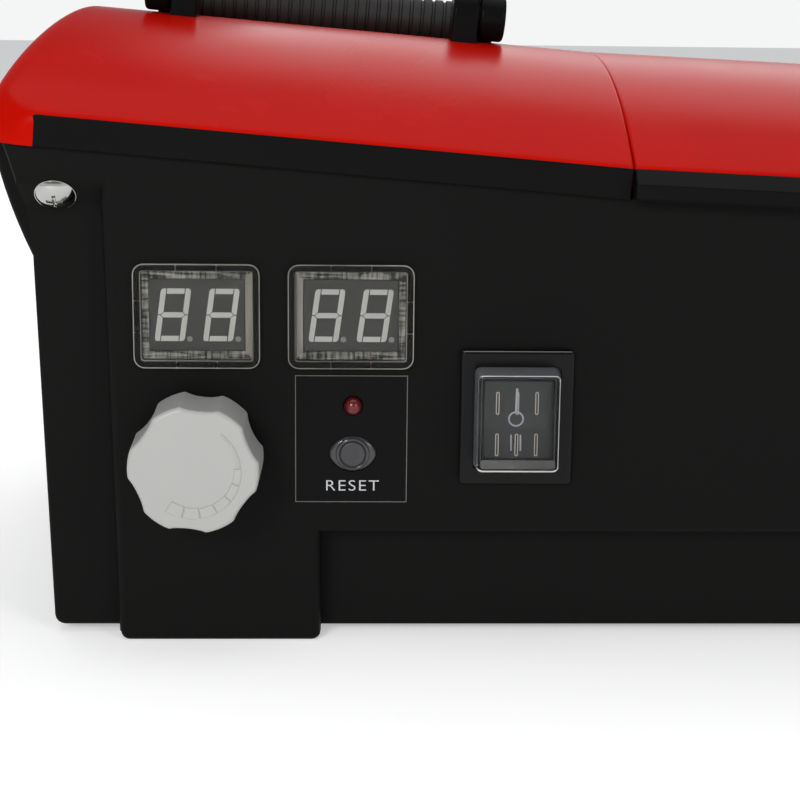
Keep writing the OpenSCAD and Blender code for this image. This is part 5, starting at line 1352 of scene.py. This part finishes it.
def blade(name, middle_x, middle_z, y0, y1):
    """A 6.3 mm push-on blade with chamfered tip corners and a locating hole."""
    w, t, tip = 3.15, 0.4, 1.2
    outline = [(middle_x - w, y0), (middle_x + w, y0), (middle_x + w, y1 - tip),
               (middle_x + w - tip, y1), (middle_x - w + tip, y1), (middle_x - w, y1 - tip)]
    hole = drum("hole", "z", (middle_x, y1 - 3.6), 0.9, middle_z - 1, middle_z + 1, sides=16)
    made = worked(block(name, "z", outline, middle_z - t, middle_z + t), cut=[hole])
    made.data.materials.append(brass)
    return made


blades = in_rows(blade("breaker_blades", reset_x, 41, 35.5, 45), brass, rows=2, row_step=(0, 0, 15))
settle(shaded(blades), finish="brass_blades")
blades = in_rows(blade("switch_blades", switch_x - 7, switch_z - 10.5, 22, 31), brass,
                 2, (14, 0, 0), 3, (0, 0, 10.5))
settle(shaded(blades), "switch_terminals")

# ---- Transformer ----
# A laminated core of varnished E and I sheets with a two-part winding on one phenolic bobbin,
# clamped by two bent steel feet and four through-bolts.
core_x, core_y, core_z = -87, 115, 14
core_half_w, core_half_d, core_h, limb = 45, 22.5, 75, 15
window_dx = 22.5
bolt_dx = core_half_w - limb / 2


def around(half_x, half_y):
    """A rectangle round the core's upright middle line."""
    return centred(half_x, half_y, core_x, core_y)


# Varnished edges of stacked sheets: dark lines on a greyish brown
laminations, tree, surface = plain_material("varnished silicon steel sheets", Roughness=0.5,
                                            Metallic=0.75)
place = add_node(tree, "ShaderNodeTexCoord").outputs["Object"]
# The sheets are 0.5 mm thick in life and drawn 1.2 mm apart, so that they show
sheets = add_node(tree, "ShaderNodeTexWave", {"Vector": place, "Scale": 1 / (1.2 * MM) / 6.3,
                                              "Distortion": 0.3, "Detail": 2.0},
                  bands_direction="Y")
ramp = add_node(tree, "ShaderNodeValToRGB", {"Fac": sheets.outputs["Fac"]},
                ((0, "#2b2521"), (1, "#5d554c")))
bump = add_node(tree, "ShaderNodeBump", {"Height": sheets.outputs["Fac"], "Distance": 0.15 * MM})
feed(surface, {"Base Color": ramp.outputs[0], "Normal": bump.outputs[0]})
bolt_places = [(core_x + dx, z) for dx in (-bolt_dx, bolt_dx)
               for z in (core_z + limb / 2, core_z + core_h - limb / 2)]
windows = [block("window", "y", rectangle(x - limb / 2, x + limb / 2, core_z + limb,
                                          core_z + core_h - limb), 0, 200)
           for x in (core_x - window_dx, core_x + window_dx)]
core = worked(block("laminated_core", "y", rectangle(core_x - core_half_w, core_x + core_half_w,
                                                     core_z, core_z + core_h),
                    core_y - core_half_d, core_y + core_half_d, 0.3, 0.3),
              cut=windows + [drum("bolt_hole", "y", where, 2.1, 0, 200, sides=24)
                             for where in bolt_places])
settle(coated(core, laminations), "transformer_core")

bobbin_z0, bobbin_z1, bobbin_t = 29.25, 73.75, 1.5
flanges = [block("bobbin_flange", "z", filleted(around(29.75, 35.5), 3), z, z + bobbin_t, 0.3, 0.3)
           for z in (bobbin_z0, bobbin_z1 - bobbin_t)]
bobbin = worked(block("bobbin_tube", "z", filleted(around(16.75, 24.25), 1), bobbin_z0, bobbin_z1),
                flanges, [block("leg_hole", "z", around(15.25, 22.75), 20, 90)])
settle(coated(bobbin, phenolic), "transformer_bobbin")

# Enamelled copper wire: a dark copper red with a varnish gleam
enamel = moulded("enamelled copper wire", "#8c4a22", 0.28, grain=0.8, depth=0.003, spread=0.08,
                 mottle=0.15, Metallic=0.85)

# A wire of a given radius that follows the object's edges round corners of a given radius
wire_tree, given, last = new_tree("wire on a route", ("Radius", "Float"), ("Bend", "Float"),
                                  ("Sides", "Int"), ("Material", "Material"))
route = add_node(wire_tree, "GeometryNodeMeshToCurve", {"Mesh": given["Geometry"]})
bent = add_node(wire_tree, "GeometryNodeFilletCurve",
                {"Curve": route.outputs[0], "Radius": given["Bend"], "Limit Radius": True},
                mode="POLY")
ring = add_node(wire_tree, "GeometryNodeCurvePrimitiveCircle",
                {"Resolution": given["Sides"], "Radius": given["Radius"]})
skin = add_node(wire_tree, "GeometryNodeCurveToMesh",
                {"Curve": bent.outputs[0], "Profile Curve": ring.outputs[0], "Fill Caps": True})
finish_tree(wire_tree, skin.outputs[0], given, last)


def wire(name, points, radius, bend, material, closed=False, sides=10):
    """A wire along points in mm from the panel's foot."""
    mesh = bpy.data.meshes.new(name)
    n = len(points)
    mesh.from_pydata([(x * MM, (y + panel_y) * MM, z * MM) for x, y, z in points],
                     [(k, (k + 1) % n) for k in range(n if closed else n - 1)], [])
    obj = bpy.data.objects.new(name, mesh)
    scene.collection.objects.link(obj)
    return grown(obj, wire_tree, radius=radius * MM, bend=bend * MM, sides=sides, material=material)


def winding(node, half_x, half_y, inner_x, inner_y, wire_r, corner):
    """A coil: a solid bundle with its outer layer of turns."""
    z0, z1 = 30.9, 72.1
    middle_line = around(half_x - wire_r, half_y - wire_r)
    bundle = worked(block(node + "_bundle", "z", filleted(middle_line, corner), z0, z1),
                    cut=[block("room", "z", around(inner_x, inner_y), 20, 90)])
    settle(coated(bundle, enamel), node)
    turns = int((z1 - z0) / (2 * wire_r))
    pitch = (z1 - z0) / turns
    path = [(x, y, z0 + pitch / 2) for x, y in middle_line]
    layer = in_rows(wire(node + "_turns", path, wire_r, corner, enamel, closed=True, sides=8),
                    enamel, rows=turns, row_step=(0, 0, pitch))
    settle(shaded(layer, 60), finish="copper_winding")


winding("primary_winding", 22.9, 29.0, 16.85, 24.35, 0.8, 3)
winding("secondary_winding", 28.7, 34.5, 23.0, 29.1, 1.3, 3.5)

feet = []
for name, s in (("front", -1), ("rear", 1)):
    face = core_y + s * core_half_d
    profile = [(face, 12), (face, 26), (face + s * 2, 26), (face + s * 2, 14), (face + s * 13, 14),
               (face + s * 13, 12)]
    holes = [drum("hole", "y", (core_x + dx, 21.5), 2.1, 60, 160, sides=24)
             for dx in (-bolt_dx, bolt_dx)]
    foot = block("transformer_foot_" + name, "x", filleted(profile, [0, 0.4, 0.4, 1, 0.4, 0.4]),
                 core_x - core_half_w, core_x + core_half_w, 0.4, 0.4)
    feet.append(coated(worked(foot, cut=holes), steel))
settle(feet[0], "transformer_brackets")
settle(feet[1], finish="pin_steel")


def hex_bolt(x, z, reach):
    """A through-bolt with a chamfered hexagon head at one end and a nut at the other."""
    head = arc((x, z), 4, 0, 360, 6)[:-1]
    return [prism(arc((x, z), 2, 0, 360, 20)[:-1], "y", core_y - reach, core_y + reach + 2),
            prism(head, "y", core_y - reach, core_y - reach - 2.6, 0, 0.4),
            prism(head, "y", core_y + reach, core_y + reach + 2.6, 0, 0.4)]


bolts = []
for x, z in bolt_places:
    bolts += hex_bolt(x, z, 24.5 if z < 50 else 22.5)
settle(shaded(merged("transformer_hex_bolts", bolts, steel)), "transformer_bolts")

# ---- Heat sink, rectifier and thyristor ----
# An extruded aluminium sink stands beside the transformer. The bridge rectifier and the
# thyristor are clamped to its flat back.

# Extruded aluminium: pale, with a soft sheen
aluminium = moulded("extruded aluminium", "#c4c5c6", 0.38, grain=0.4, depth=0.002, spread=0.06,
                    mottle=0.04, Metallic=1.0)
sink_x = -18
sink_y0, sink_y1, sink_z0, sink_z1 = 70, 160, 12, 82
fin_t = 1.6
fin_count = 9
sink_base = block("heat_sink_base", "x", rectangle(sink_y0, sink_y1, sink_z0, sink_z1),
                  sink_x - 4, sink_x, 0.2, 0.2)
settle(coated(sink_base, aluminium), "heat_sink")
fin = block("heat_sink_fins", "x",
            filleted(rectangle(sink_y0, sink_y1, sink_z0, sink_z0 + fin_t), 0.2),
            sink_x - 20, sink_x - 3.9, 0.5, 0)
fins = in_rows(fin, aluminium, rows=fin_count,
               row_step=(0, 0, (sink_z1 - sink_z0 - fin_t) / (fin_count - 1)))
settle(shaded(fins), finish="sink_aluminium")

# Transfer-moulded epoxy: dull charcoal
epoxy = moulded("black epoxy moulding compound", "#1b1b1c", 0.55, grain=0.25, depth=0.004)
# The rectifier's square case has one corner cut off, to show its positive lug
bridge_y, bridge_z = bridge_spot = (96, 56)
outline = [(bridge_y + dy, bridge_z + dz)
           for dy, dz in ((-14.25, -14.25), (14.25, -14.25), (14.25, 10.25), (10.25, 14.25),
                          (-14.25, 14.25))]
bridge = worked(block("bridge_rectifier_case", "x", outline, sink_x, sink_x + 9, 0, 0.6),
                cut=[drum("screw_hole", "x", bridge_spot, 2.2, sink_x - 1, sink_x + 12, sides=24)])
settle(coated(bridge, epoxy), "bridge_rectifier")
lug = block("bridge_rectifier_lugs", "x",
            filleted(centred(3.15, 0.4, bridge_y - 9, bridge_z - 9), 0.2),
            sink_x + 8.5, sink_x + 13, 0, 0.3)
lugs = in_rows(lug, tin, 2, (0, 18, 0), 2, (0, 0, 18))
settle(shaded(lugs), finish="pin_steel")
thyristor_y = 138
package = worked(block("thyristor_package", "x", filleted(centred(8, 10, thyristor_y, 56), 0.5),
                       sink_x, sink_x + 5, 0, 0.5),
                 cut=[drum("screw_hole", "x", (thyristor_y, 61.5), 1.8, sink_x - 1, sink_x + 8,
                           sides=24)])
settle(coated(package, epoxy), "thyristor")
leg = block("thyristor_legs", "x", rectangle(thyristor_y - 5.6, thyristor_y - 4.4, 34, 46.5),
            sink_x + 2, sink_x + 3)
settle(shaded(in_rows(leg, tin, 3, (0, 5, 0))), finish="pin_steel")

# ---- Control board ----
# The upright control board on the left wall carries the relay, two capacitors and the
# terminal block, and four pan-head screws hold it to its bosses.
board_x = -146
screw_ys, screw_zs = (56, 144), (28, 96)
screw_places = [(y, z) for y in screw_ys for z in screw_zs]
laminate = worked(block("control_board_laminate", "x", filleted(rectangle(50, 150, 22, 102), 1.5),
                        board_x - 1.6, board_x),
                  cut=[drum("hole", "x", where, 1.3, -200, 0, sides=24) for where in screw_places])
settle(coated(laminate, solder_mask), "control_board")
longer_head = [(r, along if along < 3 else along + 0.05) for r, along in pan_head]
screw = pan_screw("control_board_pan_screws", "x", screw_places[0], board_x - 6.35 + 0.7, 1,
                  longer_head)
settle(shaded(in_rows(screw, steel, 2, (0, screw_ys[1] - screw_ys[0], 0),
                      2, (0, 0, screw_zs[1] - screw_zs[0]))), "board_screws")
relay = worked(block("relay_case", "x", filleted(rectangle(57, 81, 72, 88), 0.6),
                     board_x, board_x + 12, 0, 0.6),
               [drum("vent", "x", (60, 85), 0.9, board_x + 11, board_x + 12.3, 0, 0.1, sides=16)])
settle(coated(relay, epoxy), "relay")
# Heat-shrunk PVC: smooth black
shrink_pvc = moulded("black PVC capacitor sleeve", "#141518", 0.3, grain=0.6, depth=0.003)
# The can's rolled end: bare, bright aluminium
tin_top = moulded("bare aluminium can end", "#b9babb", 0.3, grain=0.4, depth=0.002, Metallic=1.0)
can_profile = [(0, 0), (5.9, 0), (6, 0.3), (6, 1.1), (5.6, 1.6), (5.6, 1.9), (6, 2.4), (6, 11.5),
               (5.8, 11.9), (5.2, 12), (5.0, 11.8), (0, 11.8)]
capacitor_spot = (110, 88)
capacitor = turned("filter_capacitor_sleeve", "x", capacitor_spot,
                   [(r, board_x + along) for r, along in can_profile], shrink_pvc, sides=40)
settle(shaded(in_rows(capacitor, shrink_pvc, 2, (0, 16, 0))), "filter_capacitor")
end = drum("filter_capacitor_ends", "x", capacitor_spot, 4.9, board_x + 11.7, board_x + 11.95,
           0, 0.1)
settle(shaded(in_rows(end, tin_top, 2, (0, 16, 0))), finish="pin_steel")
# Moulded polyamide: satin green
green_plastic = moulded("green polyamide", "#1f7d3c", 0.42, grain=0.4, depth=0.003)
terminal_ys = [66 + 8 * k for k in range(4)]
wells = [drum("screw_well", "x", (y, 30.5), 2, board_x + 4, board_x + 12, sides=24)
         for y in terminal_ys]
wells += [block("wire_way", "z", filleted(rectangle(board_x + 1, board_x + 3.6, y - 2, y + 2), 0.5),
                20, 29) for y in terminal_ys]
terminals = worked(block("terminal_block_body", "x", filleted(rectangle(62, 94, 26, 35), 0.5),
                         board_x, board_x + 10, 0, 0.5), cut=wells)
settle(coated(terminals, green_plastic), "terminal_block")
clamp = worked(drum("terminal_block_screws", "x", (terminal_ys[0], 30.5), 1.8,
                    board_x + 4, board_x + 7, 0, 0.2, sides=24),
               cut=[block("slot", "x", rectangle(63, 69, 30.2, 30.8), board_x + 6.3, board_x + 8)])
settle(shaded(in_rows(clamp, steel, 4, (0, 8, 0))), finish="pin_steel")

# ---- Fuse ----
# A red 10 A blade fuse of automotive size in a screw-down holder on the tub's floor.
fuse_x, fuse_y, holder_z = -23, 53, 6.6
slots = [block("slot", "z", centred(2.7, 0.6, x, fuse_y), holder_z + 4, 40)
         for x in (fuse_x - 6, fuse_x + 6)]
holder = worked(block("fuse_holder_base", "z", filleted(centred(11, 7, fuse_x, fuse_y), 1),
                      holder_z, holder_z + 12, 0, 0.5), cut=slots)
settle(coated(holder, phenolic), "fuse_holder")
# Tinted polycarbonate, which lets some light through
fuse_red = moulded("translucent red polycarbonate", "#a81a1c", 0.25, grain=0.8, depth=0.002,
                   Transmission_Weight=0.3)
fuse_side = [(fuse_x + dx, holder_z + dz)
             for dx, dz in ((-9.5, 12), (9.5, 12), (9.5, 20), (8.5, 21), (-8.5, 21), (-9.5, 20))]
fuse = block("blade_fuse_body", "y", filleted(fuse_side, 0.3), fuse_y - 2.5, fuse_y + 2.5, 0.5, 0.5)
settle(coated(fuse, fuse_red), "blade_fuse")
tine = block("blade_fuse_tines", "y",
             rectangle(fuse_x - 8.5, fuse_x - 3.5, holder_z + 5, holder_z + 12.2),
             fuse_y - 0.4, fuse_y + 0.4)
settle(shaded(in_rows(tine, tin, 2, (12, 0, 0))), finish="pin_steel")

# ---- Fan ----
# A 60 mm axial fan blows out through the rear wall. Seven swept blades are moulded with
# the hub and turn on the frame's axle. Four long screws hold frame and guard together.
fan_y0, fan_y1 = 187.4, 207.4
# Glass-filled nylon: black, with a slightly mottled satin surface
fan_nylon = moulded("black glass-filled nylon", "#171717", 0.45, grain=0.3, depth=0.004,
                    Specular_IOR_Level=0.3)


def bar(turn, half_length, half_width, y0, y1, edge=0.3):
    """A straight bar across the fan's middle, turned in the plane of the fan."""
    cos, sin = math.cos(math.radians(turn)), math.sin(math.radians(turn))
    corners = [(fan_x + u * cos - v * sin, fan_z + u * sin + v * cos)
               for u, v in rectangle(-half_length, half_length, -half_width, half_width)]
    return block("bar", "y", corners, y0, y1, edge, edge)


fan_corners = [(fan_x + dx, fan_z + dz) for dx in (-25, 25) for dz in (-25, 25)]
fan_square = filleted(centred(30, 30, fan_x, fan_z), 4, 6)
fan_frame = worked(block("fan_frame_body", "y", fan_square, fan_y0, fan_y1, 0.4, 0.4),
                   cut=[drum("duct", "y", fan, 27.5, 150, 220, sides=96)]
                   + [drum("screw_hole", "y", where, 1.9, 150, 220, sides=24)
                      for where in fan_corners])
fan_frame = worked(fan_frame, [bar(turn, 28, 1.5, fan_y0, fan_y0 + 3) for turn in (45, 135)]
                   + [drum("motor_plate", "y", fan, 12, fan_y0, fan_y0 + 3, 0.5, 0.2),
                       drum("axle", "y", fan, 1.5, fan_y0, fan_y1 - 5, 0, 0.3, sides=24)])
settle(coated(fan_frame, fan_nylon), "fan_frame")

hub = turned("fan_hub", "y", fan,
             [(1.6, 191.0), (12, 191.0), (12, 204.0), (11.7, 204.9), (11.0, 205.4), (8.5, 205.4),
              (8.3, 205.1), (0, 205.1), (0, 203.0), (1.6, 203.0), (1.6, 191.0)],
             fan_nylon, sides=64)
settle(shaded(hub), "fan_rotor")

# One blade's sections, from the hub to the tip, with a little camber
blade_pitch = math.radians(38)
blade_y = 198.7
root_r, tip_r, half_chord = 11, 26.3, 9
blade_points, blade_faces = [], []
chord_steps, span_steps = 8, 5
for level in range(span_steps + 1):
    radius = root_r + (tip_r - root_r) * level / span_steps
    ring = []
    for face in (1, -1):
        for k in range(chord_steps + 1):
            t = (k / chord_steps * 2 - 1) * half_chord * face
            thick = 0.75 * math.sqrt(max(1 - (t / (half_chord + 0.2)) ** 2, 0.02))
            camber = 0.9 * (1 - (t / half_chord) ** 2)
            turn = (t * math.cos(blade_pitch) + 2.5 * level / span_steps) / 20
            y = blade_y - t * math.sin(blade_pitch) + camber + face * thick
            ring.append((radius * math.cos(turn), y + panel_y, radius * math.sin(turn)))
    blade_points += ring
around_n = 2 * (chord_steps + 1)
for level in range(span_steps):
    for k in range(around_n):
        a, b = level * around_n + k, level * around_n + (k + 1) % around_n
        blade_faces.append([a, b, b + around_n, a + around_n])
blade_faces += [list(range(around_n))[::-1],
                list(range(span_steps * around_n, (span_steps + 1) * around_n))]

hub_tree, given, last = new_tree("blades round a hub", ("Blades", "Int"), ("Centre", "Vector"),
                                 ("Material", "Material"))
spots = add_node(hub_tree, "GeometryNodeMeshLine", {"Count": given["Blades"], "Offset": (0, 0, 0)})
index = add_node(hub_tree, "GeometryNodeInputIndex")
share = add_node(hub_tree, "ShaderNodeMath", {0: index.outputs[0], 1: given["Blades"]},
                 operation="DIVIDE")
angle = add_node(hub_tree, "ShaderNodeMath", {0: share.outputs[0], 1: math.tau},
                 operation="MULTIPLY")
spin = add_node(hub_tree, "ShaderNodeCombineXYZ", {"Y": angle.outputs[0]})
ringed = add_node(hub_tree, "GeometryNodeInstanceOnPoints",
                  {"Points": spots.outputs[0], "Instance": given["Geometry"],
                   "Rotation": spin.outputs[0]})
moved = add_node(hub_tree, "GeometryNodeTransform",
                 {"Geometry": ringed.outputs[0], "Translation": given["Centre"]})
finish_tree(hub_tree, moved.outputs[0], given, last)
blades = grown(mesh_object("fan_blades", blade_points, blade_faces), hub_tree, blades=7,
               centre=(fan_x * MM, 0, fan_z * MM), material=fan_nylon)
settle(shaded(outward(blades)), body="rotor", finish="fan_black")

guard = worked(block("fan_guard_plate", "y", fan_square, body_d, body_d + 2.4, 0, 0.5),
               cut=[drum("opening", "y", fan, 27.2, 205, 220, sides=96)]
               + [drum("screw_hole", "y", where, 1.9, 205, 220, sides=24) for where in fan_corners])
ring_profile = ((0, 210), (1.6, 210), (1.6, 212.0), (1.3, 212.4), (0.3, 212.4), (0, 212.0),
                (0, 210))
rings = [turned("ring", "y", fan, [(inner + out, y) for out, y in ring_profile], sides=96)
         for inner in (9, 15, 21, 27)]
guard = worked(guard, rings + [bar(turn, 28.5, 1.6, 210.05, 212.35) for turn in (45, 135)])
settle(coated(guard, fan_nylon), "fan_guard")

# Long zinc-plated screws with cross-recessed pan heads
long_screw = worked(turned("fan_long_screws", "y", fan_corners[0],
                           [(0, fan_y0), (1.8, fan_y0), (1.8, 212.4), (3.6, 212.4), (3.6, 213.3),
                            (3.2, 214.0), (2.3, 214.35), (0, 214.4)], sides=32),
                    cut=[block("recess", "y", centred(u, v, *fan_corners[0]), 213.2, 216, 0.3, 0)
                         for u, v in ((1.7, 0.32), (0.32, 1.7))])
screws = in_rows(long_screw, steel, 2, (50, 0, 0), 2, (0, 0, 50))
settle(shaded(screws), "fan_screws")

# ---- Glands ----
# A nylon gland with a knurled cap takes the mains lead through the rear wall, and a rubber
# grommet takes the output leads into the bin.

# Moulded nylon: black with a dull surface
gland_nylon = moulded("black nylon gland", "#141414", 0.42, grain=0.3, depth=0.003)
# How far each mains wire and each output wire lies from its gland's middle
mains_dx, output_dy = 1.8, 2.6
thread = [((7.95, 7.5)[k % 2], 201.4 + 0.5 * k) for k in range(18)]
gland_body = turned("mains_gland_body", "y", gland,
                    [(0, 201.4)] + thread
                    + [(8, 210), (12, 210), (12, 212.9), (11.4, 213.5), (8.3, 213.6), (8, 216.2),
                       (7.2, 217), (4.6, 217), (4.2, 216.6), (4.2, 205.4), (0, 205.4)], sides=72)
gland_body = worked(gland_body,
                    cut=[drum("wire_hole", "y", (gland_x + dx, gland_z), 1.5, 195, 207, sides=20)
                         for dx in (-mains_dx, mains_dx)]
                    + [drum("flute", "y", where, 0.7, 209, 214, sides=12)
                       for where in arc(gland, 12.3, 0, 360, 24)[:-1]])
settle(coated(gland_body, gland_nylon), "mains_gland")
gland_nut = worked(block("mains_gland_lock_nut", "y", arc(gland, 12, 0, 360, 6)[:-1],
                         202.4, 207.4, 0.6, 0.6),
                   cut=[drum("bore", "y", gland, 8, 195, 215)])
settle(coated(gland_nut, gland_nylon), "mains_gland_nut")
grommet = turned("lead_gland_grommet", "x", bin_hole,
                 [(0, 2.4), (8.6, 2.4), (9, 2.8), (9, 3.7), (8.7, 4), (7, 4), (7, 6), (8.7, 6),
                  (9, 6.3), (9, 7.2), (8.6, 7.6), (0, 7.6)], sides=48)
grommet = worked(grommet, cut=[drum("lead_hole", "x", (bin_hole[0] + dy, bin_hole[1]), 1.7, 0, 10,
                                    sides=20) for dy in (-output_dy, output_dy)])
settle(coated(grommet, soft_rubber), "lead_gland")

# ---- Internal leads ----
# PVC-insulated wires: the mains pair runs from the gland over the heat sink to the switch,
# and the thick output pair from the rectifier's lugs to the grommet.

# Flexible PVC insulation: smooth, with a soft sheen
black_pvc = moulded("black PVC insulation", "#161616", 0.4, grain=0.6, depth=0.004)
red_pvc = moulded("red PVC insulation", "#a11212", 0.4, grain=0.6, depth=0.004)
pair = [wire(f"mains_lead_{name}",
             [(gland_x + s * mains_dx, y, z)
              for y, z in ((205.2, gland_z), (188, gland_z), (176, 92), (52, 92))]
             + [(switch_x + s * 7, 42, switch_z), (switch_x + s * 7, 31, switch_z)],
             1.35, 6, black_pvc) for s, name in ((-1, "live"), (1, "neutral"))]
settle(shaded(pair[0], 60), "mains_leads")
settle(shaded(pair[1], 60), finish="lead_insulation")
lead_x = -6.9
pair = [wire(f"output_lead_{name}",
             [(lead_x, 83.85, bridge_z + s * 9), (lead_x, 76, bridge_z + s * 9),
              (lead_x, bin_hole[0] + s * output_dy, bin_hole[1] + s * output_dy),
              (-2.3, bin_hole[0] + s * output_dy, bin_hole[1]),
              (7.6, bin_hole[0] + s * output_dy, bin_hole[1])], 1.6, 2.4, colour)
        for s, name, colour in ((1, "positive", red_pvc), (-1, "negative", black_pvc))]
settle(shaded(pair[0], 60), "output_leads")
settle(shaded(pair[1], 60), finish="lead_insulation")
